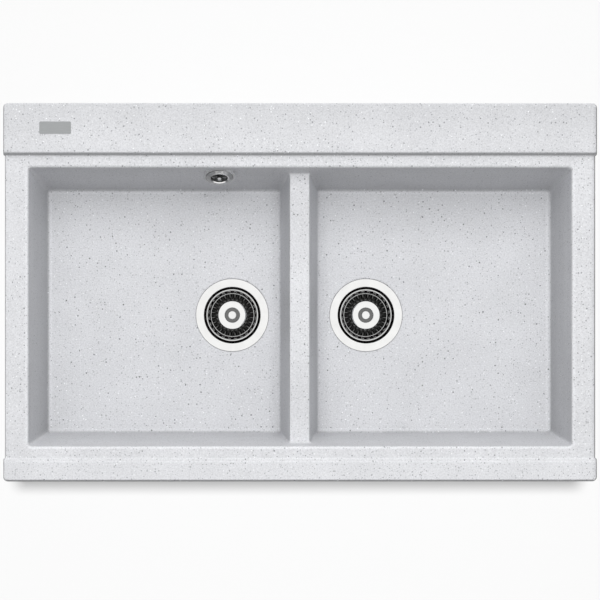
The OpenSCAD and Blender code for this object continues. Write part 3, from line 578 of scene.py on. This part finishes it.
def body_painted_shading(co):
    """Painted light and shade of the granite at each corner: the bowls' own, the boss of the
    overflow, the divider's top, the ledge and the strip; then painted highlights on the lips of
    the openings, and painted shade on the ledge's slope and the outer edges."""
    x, y, z = co.T
    wide = np.abs(x)
    gaps = wall_gaps(x, y, z)
    side, back, front = gaps[:3]
    painted_shading = bowl_painted_shading(x, y, z, gaps)
    # painted shade on the overflow's boss
    boss = (np.abs(x - OVER_X) < 21.5) * (y > 100) * (back > 0.4) * (z > -60) * (z < -8)
    painted_shading = np.where(boss, BOSS_PAINTED_SHADE, painted_shading)
    crown = (wide < DIVIDER_HALF + 1) * (z > DIVIDER_TOP - 2) * (z < 0)
    painted_shading = np.where(crown * (back > 1) * (front > 1), along(y, DIVIDER_PAINTED_LIGHT), painted_shading)
    top = z > RIM - 2
    painted_shading = np.where(top & (y > 184), along(y, LEDGE_PAINTED_SHADE), painted_shading)
    painted_shading = np.where(top & (y < -224), STRIP_PAINTED_LIGHT, painted_shading)
    # painted highlights on the lips of the openings
    lip_highlight = 0.12 * band(y, OPEN_FRONT - 2.2, 1.5) * (wide < OPEN_X)
    lip_highlight = lip_highlight + 0.09 * band(wide, OPEN_X + 2.8, 1.6) * (y < OPEN_BACK) * (y > OPEN_FRONT)
    # painted shade on the ledge's slope
    slope_shade = 0.5 * band(y, 181.6, 2.4)
    painted_shading = painted_shading * (1 + top * lip_highlight) * (1 - top * slope_shade) * edge_shade(x, y, z)
    seen = (z > 0) | (np.minimum(np.minimum(side, back), front) > -4)
    return np.where(seen, painted_shading, 1.0)


# granite body

def arc_max(p, q, r):
    """The greater of two signed distances, but an arc of radius r runs round the edge where
    both are zero."""
    return np.minimum(-r, np.maximum(p, q)) + np.hypot(np.maximum(p + r, 0), np.maximum(q + r, 0))


def rim_height(y):
    """Height of the rims along the depth: strip, a step with a small rise at each end of it,
    rim, an S-shaped slope and ledge, with an arc at every bend."""
    far, deep, arc_steps = 400, -50, 10
    line = rounded([(-far, STRIP), (STEP_TOP - 0.5, STRIP), (STEP_TOP + 1.3, STRIP - 1.3),
                    (STEP_FOOT - 1.3, RIM + 1.2), (STEP_FOOT, RIM), (SLOPE_FOOT + 0.6, RIM),
                    (SLOPE_TOP - 2.2, LEDGE), (far, LEDGE), (far, deep), (-far, deep)],
                   [0, 1.4, 1.4, 1.4, 1.4, 2.4, 1.9, 0, 0, 0], arc_steps)
    top = line[:-2 * (arc_steps + 1)]
    return np.interp(y, top[:, 0], top[:, 1])


def wall_distance(x, y, z, out, corner):
    """Signed distance to the four leaning walls, pushed outwards by out, with arcs down their
    corners."""
    rise = RIM - z
    side = (np.abs(x) - (OPEN_X - rise * np.tan(SIDE_LEAN) + out)) * np.cos(SIDE_LEAN)
    back = (y - (OPEN_BACK - rise * np.tan(BACK_LEAN) + out)) * np.cos(BACK_LEAN)
    front = (OPEN_FRONT + rise * np.tan(FRONT_LEAN) - out - y) * np.cos(FRONT_LEAN)
    return arc_max(side, np.maximum(back, front), corner)


def divider_distance(x, z, out):
    """Signed distance to the two leaning faces of the divider, drawn in by out. Its left face
    stands further left than its right face stands right."""
    half = DIVIDER_HALF + DIVIDER_SHIFT + (DIVIDER_TOP - z) * np.tan(DIVIDER_LEAN) - out
    return (np.abs(x + DIVIDER_SHIFT) - half) * np.cos(DIVIDER_LEAN)


def above(x, y, z):
    """Signed distance to the body seen from above: the rims less a box with leaning walls,
    plus the divider."""
    corner = 4.5 + 3.5 * np.clip((RIM - z) / (RIM - FLOOR), 0, 1)
    box = arc_max(wall_distance(x, y, z, 0, corner), FLOOR - z, 4.4)
    divider = arc_max(divider_distance(x, z, 0), z - DIVIDER_TOP, 2.0)
    hollow = arc_max(box, -divider, 4.0)
    return arc_max(z - rim_height(y), -hollow, 3.4)


def below(x, y, z):
    """Signed distance to the body seen from below: the flat rim and a box round the bowls,
    with the groove between them."""
    box = arc_max(wall_distance(x, y, z, WALL, 13.0), UNDER - z, 8.0)
    groove = arc_max(divider_distance(x, z, WALL), z - (DIVIDER_TOP - WALL), 3.0)
    return -arc_max(-arc_max(box, -groove, 4.0), z, 2.5)


def level(distance, x, y, inside, outside):
    """The height between inside and outside the body where a distance is zero, by halving
    46 times."""
    low, high = np.full(x.shape, inside), np.full(x.shape, outside)
    for _ in range(46):
        mid = (low + high) / 2
        solid = distance(x, y, mid) < 0
        low, high = np.where(solid, mid, low), np.where(solid, high, mid)
    return (low + high) / 2


def steps_of(*stretches):
    """Places along one direction: each stretch is its end and its spacing, from where the last
    one ended."""
    places = [np.array([stretches[0]])]
    for end, spacing in stretches[1:]:
        start = places[-1][-1]
        count = max(1, round(abs(end - start) / spacing))
        places.append(np.linspace(start, end, count + 1)[1:])
    return np.concatenate(places)


def body_grid():
    """Grid of places (x, y) inside the rounded outer edge, closest together where the surface
    bends. The outer columns follow the outline. Gives x, y, and for both side columns the
    outline's own points."""
    free_from, last = 370, HALF_MID - EDGE_SIDE
    half = steps_of(0.0, (3, 1.5), (33, 0.85), (334, 40), (352.5, 0.9), (361.5, 0.5),
                    (free_from, 0.95), (last, 4))
    x = np.concatenate([-half[:0:-1], half])[None, :]
    t = np.linspace(0, np.pi / 2, 8)
    front_bend = -HALF_DEEP + CORNER - (CORNER - EDGE_FRONT) * np.sin(t[::-1])
    back_bend = HALF_DEEP - CORNER + (CORNER - EDGE_BACK) * np.sin(t)
    between = steps_of(front_bend[-1], (-226, 6), (-214, 0.6), (-207, 1.0), (-199, 0.5),
                       (-183, 0.9), (131, 32), (161, 0.95), (169, 0.5), (178, 1.3),
                       (185.5, 0.34), (back_bend[0], 9))
    y = np.concatenate([front_bend, between[1:], back_bend[1:]])
    centre = np.where(y > 0, HALF_DEEP - CORNER, CORNER - HALF_DEEP)
    past = np.clip(np.abs(y) - (HALF_DEEP - CORNER), 0, None)
    edge = np.where(y > 0, EDGE_BACK, EDGE_FRONT)
    turn = np.arcsin(np.clip(past / (CORNER - edge), 0, 1))
    bent = past > 0
    bent_x = HALF_WIDE - CORNER + (CORNER - EDGE_SIDE) * np.cos(turn)
    inner = np.where(bent, bent_x, outline_half(y) - EDGE_SIDE)[:, None]
    outer_x = np.where(bent, HALF_WIDE - CORNER + CORNER * np.cos(turn), outline_half(y))
    outer_y = np.where(bent, centre + np.sign(y) * CORNER * np.sin(turn), y)
    free = np.clip((np.abs(x) - free_from) / (last - free_from), 0, 1)
    gx = np.sign(x) * (np.minimum(np.abs(x), free_from) + free * (inner - free_from))
    return gx, np.repeat(y[:, None], x.size, 1), outer_x, outer_y


def body_skin():
    """Upper and lower surfaces on the same grid, joined all round by an edge of quarter
    ellipses, taller along the front, and a straight side."""
    gx, gy, outer_x, outer_y = body_grid()
    rows, columns = gx.shape
    top = level(above, gx, gy, -195.0, 20.0)
    low = level(below, gx, gy, 4.0, -200.0)
    last = (rows - 1) * columns
    ring = np.concatenate([np.arange(columns), columns * np.arange(1, rows) + columns - 1,
                           last + np.arange(columns - 2, -1, -1),
                           columns * np.arange(rows - 2, 0, -1)])
    out_x, out_y = gx.copy(), gy.copy()
    out_y[0], out_y[-1] = -HALF_DEEP, HALF_DEEP
    out_x[:, 0], out_x[:, -1], out_y[:, 0], out_y[:, -1] = -outer_x, outer_x, outer_y, outer_y
    inner = np.stack([gx.ravel(), gy.ravel()], -1)[ring]
    push = np.stack([out_x.ravel(), out_y.ravel()], -1)[ring] - inner
    reach = np.linalg.norm(push, axis=1)
    extra = 1.7 * np.clip(-push[:, 1], 0, None) ** 2 + 0.8 * push[:, 0] ** 2
    drop = reach + extra / reach
    z = top.ravel()[ring]
    n, size = len(ring), rows * columns
    turns = np.linspace(0, np.pi / 2, 9)
    rings = [np.c_[inner + push * np.sin(k), z - drop * (1 - np.cos(k))] for k in turns[1:]]
    rings += [np.c_[inner + push * np.cos(k), np.full(n, EDGE_LOW * (1 - np.sin(k)))]
              for k in turns[:-1]]
    sheets = [np.stack([gx, gy, height], -1).reshape(-1, 3) for height in (top, low)]
    grid = sheet_faces(rows, columns, False, False)
    chain = [ring, *[2 * size + k * n + np.arange(n) for k in range(len(rings))], size + ring]
    edge = [np.stack([u, v, np.roll(v, -1), np.roll(u, -1)], -1)
            for u, v in zip(chain, chain[1:])]
    return np.concatenate([*sheets, *rings]), np.concatenate([grid[:, ::-1], size + grid, *edge])


def at_overflow(shape):
    """Carries a shape whose own Z points out of the overflow's seat to its place in the back
    wall."""
    c, s = math.cos(math.pi / 2 - OVER_TILT), math.sin(math.pi / 2 - OVER_TILT)
    return moved(shape, [[1, 0, 0], [0, c, -s], [0, s, c]], (OVER_X, OVER_Y, OVER_Z))


# bosses and holes of the body: radii, and the places of the tap holes

CLIP_BOSS, CLIP_BORE = 6.5, 3.65
OVER_BOSS, OVER_BORE = 21, 13
TAP_BORE, TAP_XS, TAP_Y = 17.5, (-95, 0, 95), 216.5
DRAIN_BORE, FLANGE_SEAT, SEAT_DEPTH = 45, 50.3, 2.2


def granite_body():
    """The moulded body, with the bosses for the clips and the overflow added and every hole
    cut: for the clips' inserts, the taps, the drains with their seats, and the overflow."""
    mesh = mesh_of("granite_body", [body_skin()])
    outward(mesh)
    obj = in_scene("granite_body", mesh)
    spots = [(x, y, 0) for x, y in CLIPS.values()]
    bosses = [moved(rod(CLIP_BOSS, -12, 4, 48), None, spot) for spot in spots]
    joined(obj, [*bosses, at_overflow(rod(OVER_BOSS, -26.9, 0))], "UNION")
    holes = [at_overflow(rod(OVER_BORE, -29, 1))]
    holes += [moved(rod(CLIP_BORE, -13, -1.95, 40), None, spot) for spot in spots]
    holes += [moved(rod(TAP_BORE, -1, 7), None, (x, TAP_Y, 0)) for x in TAP_XS]
    for sign in SIDES.values():
        drain = (sign * DRAIN_X, DRAIN_Y, 0)
        holes.append(moved(rod(DRAIN_BORE, UNDER - 1, FLOOR + 2), None, drain))
        seat = rod(FLANGE_SEAT, FLOOR - SEAT_DEPTH, FLOOR + 3, 144)
        holes.append(moved(seat, None, drain))
    for hole in holes:
        joined(obj, [hole], "DIFFERENCE")
    outward(obj.data, True)
    write(obj.data, "painted_shading", body_painted_shading)
    replaced = ["sink_rim", "sink_bowls"]
    replaced += ["sink_ledge_left", "sink_ledge_middle", "sink_ledge_right"]
    dress(obj, GRANITE, "sink", replaced, None, 32)


granite_body()


# steel wastes and baskets

BASKET_STEPS, SLOT_STEPS = 192, 8
BOTTOM_SLOT, WALL_SLOT = slice(3, 5), slice(10, 12)
BASKET_LINE = np.array([
    [5.4, -216.4], [12, -216.4], [20.2, -216.4], [22.7, -216.4], [25.8, -216.4], [28.9, -216.4],
    [29.4, -216.4], [29.9, -216.3], [30.2, -215.9], [30.4, -215.2], [30.8, -212.3],
    [31.6, -207.8], [32.4, -203.3], [33.4, -197.5], [33.7, -192.4], [33.75, -191.6],
    [33.95, -191.0], [34.4, -190.8], [34.95, -190.9], [35.25, -191.3], [35.3, -192.0]])
BASKET_SHEET, BASKET_EDGE = 0.8, -215

CAP_LINE = rounded(
    [(5.2, -216.0), (6.8, -216.0), (6.8, -195.5), (9.7, -195.3), (17.6, -196.3), (18.4, -199.3),
     (19.2, -199.3), (19.2, -194.8), (17.6, -194.3), (10.6, -193.7), (9.7, -194.5),
     (5.2, -194.5)], [0.2, 0.2, 0.3, 0.5, 1.5, 0.2, 0.3, 0.6, 4, 0.8, 0.4, 0.2], 5)
POST_LINE = rounded(
    [(AXIS, -220.2), (18, -220.2), (18, -218.7), (7.4, -218.7), (7.4, -216.8), (5, -216.8),
     (5, -194.3), (5.8, -194.3), (5.8, -191.6), (AXIS, -191.6)],
    [0.01, 0.5, 0.5, 0.3, 0.4, 0.2, 0.2, 0.3, 1.3, 0.01], 5)


def cup_painted_reflection(co, at):
    """Bright on the flange; painted shade on its outer edge and down towards the cup's bottom."""
    r = np.hypot(co[:, 0] - at[0], co[:, 1] - at[1])
    upper = np.clip((co[:, 2] - CUP_LOW) / 40, 0, 1)
    flange = (r > 38.2) & (r < 49.2) & (co[:, 2] > FLOOR - 0.6)
    return np.where(flange, 1.0, np.where(r > 49.1, 0.0, 0.02 + 0.95 * upper))


def basket_shape(at):
    """A sheet of the basket's outline (radius, height) turned in 192 columns, eight to a slot.
    Cells of the slots are left out: two columns wide in the bottom, and two half a pitch
    further round in the wall."""
    rows = len(BASKET_LINE)
    r, z = BASKET_LINE[:, :1], np.repeat(BASKET_LINE[:, 1:], BASKET_STEPS, 1)
    a = np.arange(BASKET_STEPS) * 2 * np.pi / BASKET_STEPS
    points = np.stack([at[0] + r * np.cos(a), at[1] + r * np.sin(a), z], -1).reshape(-1, 3)
    faces = sheet_faces(rows, BASKET_STEPS, False, True).reshape(rows - 1, BASKET_STEPS, 4)
    column = np.arange(BASKET_STEPS) % SLOT_STEPS
    keep = np.ones(faces.shape[:2], bool)
    keep[BOTTOM_SLOT, (column == 7) | (column == 0)] = False
    keep[WALL_SLOT, (column == 3) | (column == 4)] = False
    return points, faces[keep]


def basket_painted_reflection(co, at, facing):
    """Painted dark inside, for shade and dark reflection, but painted highlights on the rolled
    rim, on the edge of the bottom and as a glint on each bar between two slots. Outside, where the
    surface faces down or away from the middle, it is bright."""
    d = co[:, :2] - np.array(at)
    z = co[:, 2]
    r = np.hypot(d[:, 0], d[:, 1])
    low = z < BASKET_EDGE
    pitch = 360 * SLOT_STEPS / BASKET_STEPS
    turn = np.degrees(np.arctan2(d[:, 1], d[:, 0])) / pitch % 1
    edge = 0.75 * (r > 29.2) * (r < 30.0) * low
    bar_glint = 0.16 * (np.abs(turn - 0.5) < 0.1) * (r > 25) * (r < 29) * low
    # painted highlight on the rolled rim
    rim = 0.72 * np.clip((z + 195) / 3, 0, 1)
    middle = 0.03 * (r < 20.5) * low
    away = (facing[:, :2] * d).sum(1) / np.maximum(r, 1e-6)
    outside = np.clip(3 * np.maximum(away, -facing[:, 2]) - 0.6, 0, 1) * (z < -192.5)
    return np.clip(np.maximum(rim + edge + bar_glint + middle, 0.85 * outside), 0, 1)


def basket(side, at, body):
    """The slotted sheet, given its thickness, and then its painted reflection by where each
    corner faces.
    """
    obj = built(f"basket_sheet_{side}", [basket_shape(at)], STEEL, body, [f"basket_{side}"])
    sheet = obj.modifiers.new("sheet", "SOLIDIFY")
    sheet.thickness = BASKET_SHEET * MM
    sheet.offset = 0
    sheet.use_even_offset = False
    settle(obj)
    facing = np.empty(len(obj.data.vertices) * 3)
    obj.data.vertices.foreach_get("normal", facing)
    write(obj.data, "painted_reflection", lambda co: basket_painted_reflection(co, at, facing.reshape(-1, 3)))


def cap_painted_reflection(co, at):
    """Polished on top, painted grey shade in the recess round the button."""
    r = np.hypot(co[:, 0] - at[0], co[:, 1] - at[1])
    return np.where(r < 9.9, 0.18, np.where(co[:, 2] > -196.8, 1.0, 0.1))


def post_painted_reflection(co):
    """Polished on the button, painted shade below it."""
    return np.where(co[:, 2] > -194.6, 1.0, 0.5)


for side, sign in SIDES.items():
    at = (sign * DRAIN_X, DRAIN_Y)
    body = f"basket_{side}_body"
    eased(f"strainer_flange_{side}", f"flange_{side}", STEEL, "sink", 0.5,
          lambda co: cup_painted_reflection(co, at))
    eased(f"flange_gasket_{side}", f"upper_gasket_{side}", RUBBER, "sink", 0.25)
    eased(f"floor_gasket_{side}", f"lower_gasket_{side}", RUBBER, "sink", 0.6)
    eased(f"basket_seal_{side}", f"seal_{side}", RUBBER, body, 0.8, None, 3)
    eased(f"clamp_screw_{side}", f"centre_screw_{side}", STEEL, "sink", 0.3, 0.5)
    basket(side, at, body)
    built(f"cap_{side}", [lathe(CAP_LINE, at)], STEEL, body, [f"basket_cap_{side}"],
          lambda co: cap_painted_reflection(co, at), 60)
    built(f"post_{side}", [lathe(POST_LINE, at, 96)], STEEL, body, [f"basket_post_{side}"],
          post_painted_reflection, 60)


# plastic waste bodies

CUP_IN, CUP_OUT, COLLAR = 41.5, 44.0, 50.0
OUTLET_IN, OUTLET_OUT = 20.0, 23.9
PIPE_PITCH, PIPE_DEPTH = 2.309, 1.3
HUB_LOW = CONE_TOP - 11
SPIGOT_IN, SPIGOT_OUT = 6.2, 8.0


def pipe_thread(a, r, z):
    """Depth taken from the outlet's outside: a flattened zigzag, eased at both ends."""
    ends = np.clip((z - OUTLET_LOW - 0.5) / 1.5, 0, 1) * np.clip((CONE_LOW - 2 - z) / 1.5, 0, 1)
    return PIPE_DEPTH * np.clip(1.25 * saw(z, a, PIPE_PITCH) - 0.12, 0, 1) * ends * (r > 23.5)


def waste_shapes(sign):
    """Cup, cone and threaded outlet turned as one wall, and a hub on three arms."""
    outside = rounded(
        [(CUP_IN, BODY_TOP), (COLLAR, BODY_TOP), (COLLAR, BODY_TOP - 4), (CUP_OUT, BODY_TOP - 4),
         (CUP_OUT, CONE_TOP), (OUTLET_OUT + 0.1, CONE_LOW)], [0.3, 0.8, 0.8, 1.2, 5, 3], 5)[3:]
    thread = [(OUTLET_OUT, z) for z in np.linspace(CONE_LOW - 1, OUTLET_LOW + 0.6, 88)]
    inside = [(OUTLET_OUT - 0.5, OUTLET_LOW), (OUTLET_IN + 0.5, OUTLET_LOW),
              (OUTLET_IN, OUTLET_LOW + 0.5), (OUTLET_IN, CONE_LOW + 2.5),
              (CUP_IN, CONE_TOP + 2.5), (CUP_IN, BODY_TOP - 0.3), (CUP_IN + 0.3, BODY_TOP)]
    wall = np.concatenate([outside, thread, inside])
    hub = rounded([(3.2, HUB_LOW), (8, HUB_LOW), (8, CONE_TOP), (3.2, CONE_TOP)], 0.5, 3)
    arm = rounded([(6, -2), (38.5, -2), (38.5, 2), (6, 2)], 0.6, 3)
    shapes = [lathe(wall, steps=120, thread=pipe_thread), lathe(hub, steps=48)]
    shapes += [moved(prism(arm, HUB_LOW, CONE_TOP - 2.5), turn_z(turn)) for turn in (0, 120, 240)]
    return [moved(s, None, (sign * DRAIN_X, DRAIN_Y, 0)) for s in shapes]


def from_left_waste(shape):
    """Carries a shape that runs out along X from the axis to the hose's own direction."""
    return moved(moved(shape, turn_z(math.degrees(HOSE_TURN))), None, (-DRAIN_X, DRAIN_Y, 0))


def inlet_shape():
    """Spigot and collar turned in one round the run of the hose, out of the side of the left
    waste."""
    spigot = rounded(
        [(SPIGOT_IN, 41.45), (SPIGOT_OUT, 41.45), (SPIGOT_OUT, 44.05), (VALLEY, 44.05),
         (VALLEY, HOSE_START), (SPIGOT_OUT, HOSE_START), (SPIGOT_OUT, 71), (SPIGOT_IN, 71)],
        [0.1, 0.1, 0.1, 0.4, 0.5, 0.5, 0.6, 0.4], 3)
    lying = [[0, 0, 1], [0, 1, 0], [-1, 0, 0]]
    return from_left_waste(moved(lathe(spigot, steps=64), lying, (0, 0, HOSE_LOW)))


for side, sign in SIDES.items():
    built(f"waste_{side}", waste_shapes(sign), PLASTIC, "sink",
          [f"waste_body_{side}", f"waste_hub_{side}", f"waste_outlet_{side}"], None, 45)
built("inlet_spigot", [inlet_shape()], PLASTIC, "sink", ["overflow_inlet"], None, 45)


# overflow

ROSETTE_LINE = rounded(
    [(2.7, 0), (18.5, 0), (18.5, 0.8), (17.5, 1.1), (15, 1.86), (13.2, 2.4), (11.6, 2.4),
     (10.6, 1.2), (2.7, 1.2)], [0.15, 0.3, 0.3, 0.1, 0.1, 1.2, 0.9, 0.5, 0.15], 6)
DISH, OPENING, OPENING_AT = 10.7, 3.4, 7.2


def seat_place(co):
    """Distance from the rosette's middle, measured in its own plane, and the shares of it that
    point down and right."""
    u = co[:, 0] - OVER_X
    v = (co[:, 1] - OVER_Y) * math.sin(OVER_TILT) + (co[:, 2] - OVER_Z) * math.cos(OVER_TILT)
    r = np.hypot(u, v)
    return r, -v / np.maximum(r, 1e-6), u / np.maximum(r, 1e-6)


def rosette_painted_reflection(co):
    """Grey on the ring with painted light towards its upper right, painted shade in the dish and
    along the outer edge, painted highlights on the ring's rolled inner edge where that faces up
    or down."""
    r, down, right = seat_place(co)
    lower = down > 0
    lift = 1 + 0.25 * np.clip(-down, 0, 1) + np.clip(0.8 * right - 0.6 * down, 0, 1) ** 2
    roll = np.clip(5 * np.abs(down) - np.where(lower, 3.3, 3.9), 0, 1)
    roll = roll * (r > DISH) * (r < np.where(lower, 12.5, 13.4)) * np.where(lower, 0.85, 0.4)
    outer = band(r, 18.2, 0.3) * np.clip(0.7 - down, 0, 1) * 0.3
    return np.clip(np.where(r < DISH, 0.04, 0.34 * lift - outer) + roll, 0, 1)


def screw_painted_reflection(co):
    """Painted highlight on the screw's middle, painted shade round it."""
    return np.where(seat_place(co)[0] < 2.6, 0.75, 0.05)


def rosette():
    """Plate turned with a raised ring and a dished middle, with four openings cut through the
    dish."""
    mesh = mesh_of("rosette", [at_overflow(lathe(ROSETTE_LINE))])
    outward(mesh)
    obj = in_scene("rosette", mesh)
    spots = [(x, y, 0) for x, y in arc(OPENING_AT, 0, 270, 3)]
    openings = [at_overflow(moved(rod(OPENING, -1, 4, 48), None, spot)) for spot in spots]
    joined(obj, openings, "DIFFERENCE")
    dress(obj, STEEL, "sink", ["overflow_rosette"], rosette_painted_reflection)


def hose_shape():
    """A tube on the route out of the waste, round a quarter bend and up. Outside, its radius is
    a rounded wave with a crest on each rib between two plain ends; inside it is the plain bore,
    walked back again."""
    straight, bend = HOSE_RUN - HOSE_BEND - HOSE_START, HOSE_BEND * math.pi / 2
    length = straight + bend + (HOSE_TOP - HOSE_LOW - HOSE_BEND)
    plain = 2 * RIB
    out = np.linspace(0, length, RIB_COUNT * 12 + 1)
    turns = RIB_COUNT * (out - plain) / (length - 2 * plain)
    wave = np.clip(0.5 - 0.85 * np.cos(2 * np.pi * turns), 0, 1)
    ribbed = np.where((out > plain) & (out < length - plain), wave, 0)
    back = np.linspace(length, 0, 90)
    s = np.concatenate([out, back])
    r = np.concatenate([VALLEY + (RIB - VALLEY) * ribbed, np.full(len(back), BORE)])[:, None]
    turn = np.clip((s - straight) / bend, 0, 1) * math.pi / 2
    x = HOSE_START + np.minimum(s, straight) + HOSE_BEND * np.sin(turn)
    z = HOSE_LOW + HOSE_BEND * (1 - np.cos(turn)) + np.maximum(s - straight - bend, 0)
    b = np.arange(32) * 2 * np.pi / 32
    tube = [x[:, None] - r * np.sin(b) * np.sin(turn)[:, None], r * np.cos(b),
            z[:, None] + r * np.sin(b) * np.cos(turn)[:, None]]
    return np.stack(tube, -1).reshape(-1, 3), sheet_faces(len(s), len(b), True, True)


rosette()
eased("overflow_screw", "rosette_screw", STEEL, "sink", 0.2, screw_painted_reflection)
eased("overflow_gasket", "overflow_ring", RUBBER, "sink", 0.5)
eased("overflow_housing", "housing", PLASTIC, "sink", 0.6)
eased("hose_clips", "hose_bands", ZINC, "sink", 0.25)
built("ribbed_hose", [from_left_waste(hose_shape())], HOSE, "sink", ["overflow_hose"],
      None, 50)


# badge, clips and their screws

SHANK, HEAD = 2.5, 4.6
HEAD_TOP, SLOT_TOP, HEAD_LOW = -44.2, -45.7, -47.2
SCREW_PITCH, SCREW_DEPTH = 0.8, 0.4


def screw_thread(a, r, z):
    """Depth taken from the shank: a zigzag, eased at the head."""
    start = np.clip((z - HEAD_TOP - 0.4) / 0.6, 0, 1)
    return SCREW_DEPTH * saw(z, a, SCREW_PITCH) * start * (np.abs(r - SHANK) < 0.1)


def clip_screw():
    """Threaded shank, collar, and the two halves of a slotted head under it."""
    collar = [(AXIS, SLOT_TOP - 0.1), (HEAD, SLOT_TOP - 0.1), (HEAD, HEAD_TOP - 0.3),
              (HEAD - 0.3, HEAD_TOP), (AXIS, HEAD_TOP)]
    shank = [(AXIS, HEAD_TOP - 0.2), (SHANK, HEAD_TOP - 0.2),
             *[(SHANK, z) for z in np.arange(-44, -2.8, 0.16)], (1.9, -2.1), (AXIS, -2.05)]
    head = prism(arc(HEAD, 6.3, 173.7, 20), HEAD_LOW, SLOT_TOP)
    return [lathe(collar, steps=40), lathe(shank, steps=20, thread=screw_thread),
            head, moved(head, turn_z(180))]


eased("badge_plate", "blank_plate", BADGE, "sink", 0.22)
eased("clip_inserts", "brass_inserts", BRASS, "sink", 0.2)
for name in CLIPS:
    swing = name.replace("clip_", "swing_clip_")
    eased(name, swing, ZINC, name + "_body", 0.35)
screws = [moved(s, None, (x, y, 0)) for x, y in CLIPS.values() for s in clip_screw()]
built("clip_screw_set", screws, ZINC, "sink", ["clip_screws"], None, 35)


# floor and background: what is seen of their own glow, and what lights the sink

FLOOR_GREY, FLOOR_SEEN, FLOOR_GLOW = 0.19, 0.36, 0.3
ROOM_SEEN, ROOM_GLOW = 1.0, 0.1
FLOOR_HALF, FLOOR_AT = 6.0, -0.2692


def white_to_the_eye(tree, shown, other):
    """Strength shown where a ray comes straight from the camera, a reflection or glass, and
    other for the rest."""
    path = tree.nodes.new("ShaderNodeLightPath")
    seen = path.outputs["Is Camera Ray"]
    for extra in ("Is Glossy Ray", "Is Transmission Ray"):
        most = tree.nodes.new("ShaderNodeMath")
        most.operation = "MAXIMUM"
        tree.links.new(seen, most.inputs[0])
        tree.links.new(path.outputs[extra], most.inputs[1])
        seen = most.outputs[0]
    strength = tree.nodes.new("ShaderNodeMapRange")
    tree.links.new(seen, strength.inputs[0])
    strength.inputs[3].default_value = other
    strength.inputs[4].default_value = shown
    return strength.outputs[0]


def floor_paper():
    """Pale matte paper with a glow of its own, seen from above and clear from below."""
    paper = bpy.data.materials.new("floor_paper")
    paper.use_nodes = True
    tree = paper.node_tree
    tree.nodes.clear()
    out = tree.nodes.new("ShaderNodeOutputMaterial")
    matte = tree.nodes.new("ShaderNodeBsdfDiffuse")
    matte.inputs[0].default_value = (FLOOR_GREY, FLOOR_GREY, FLOOR_GREY, 1)
    glow = tree.nodes.new("ShaderNodeEmission")
    tree.links.new(white_to_the_eye(tree, FLOOR_SEEN, FLOOR_GLOW), glow.inputs[1])
    both = tree.nodes.new("ShaderNodeAddShader")
    clear = tree.nodes.new("ShaderNodeBsdfTransparent")
    side_seen = tree.nodes.new("ShaderNodeNewGeometry")
    choose = tree.nodes.new("ShaderNodeMixShader")
    for source, target in ((matte.outputs[0], both.inputs[0]), (glow.outputs[0], both.inputs[1]),
                           (side_seen.outputs["Backfacing"], choose.inputs[0]),
                           (both.outputs[0], choose.inputs[1]),
                           (clear.outputs[0], choose.inputs[2]),
                           (choose.outputs[0], out.inputs[0])):
        tree.links.new(source, target)
    return paper


floor_mesh = bpy.data.meshes.new("floor")
floor_corners = [(x * FLOOR_HALF, y * FLOOR_HALF, FLOOR_AT)
                 for x, y in ((-1, -1), (1, -1), (1, 1), (-1, 1))]
floor_mesh.from_pydata(floor_corners, [], [(0, 1, 2, 3)])
floor_mesh.materials.append(floor_paper())
floor = in_scene("floor", floor_mesh)

world = bpy.data.worlds.new("studio")
world.use_nodes = True
scene.world = world
background = world.node_tree.nodes["Background"]
background.inputs[0].default_value = (1, 1, 1, 1)
room = white_to_the_eye(world.node_tree, ROOM_SEEN, ROOM_GLOW)
world.node_tree.links.new(room, background.inputs[1])


# lights: three soft panels for the sink alone, and a sun for its shadow on the floor

only_floor = bpy.data.collections.new("floor_alone")
only_floor.objects.link(floor)
not_floor = bpy.data.collections.new("all_but_floor")
not_floor.objects.link(floor)
not_floor.collection_objects[0].light_linking.link_state = "EXCLUDE"
PANEL_SIDE = 1.6


def lamp(name, kind, power, turn, lit):
    """A lamp that lights one collection."""
    data = bpy.data.lights.new(name, kind)
    data.energy = power
    obj = in_scene(name, data)
    obj.rotation_euler = turn
    obj.light_linking.receiver_collection = lit
    return obj


def panel(name, place, power):
    """A soft lamp, a flat square of light that faces the sink's middle."""
    x, y, z = place
    level_way = math.hypot(x, y)
    heading = math.atan2(y, x) + math.pi / 2 if level_way > 1e-6 else 0
    obj = lamp(name, "AREA", power, (math.atan2(level_way, z), 0, heading), not_floor)
    obj.data.shape = "RECTANGLE"
    obj.data.size, obj.data.size_y = PANEL_SIDE, PANEL_SIDE
    obj.location = place
    obj.visible_camera = False
    obj.visible_glossy = False


panel("low_back_panel", (0, 3.625, 1.69), 54)
panel("high_back_panel", (0, 1.368, 3.759), 56)
panel("top_panel", (0, 0, 4), 87)
sun = lamp("floor_sun", "SUN", 9.6, (math.radians(-4.2), 0, 0), only_floor)
sun.data.angle = math.radians(5.5)
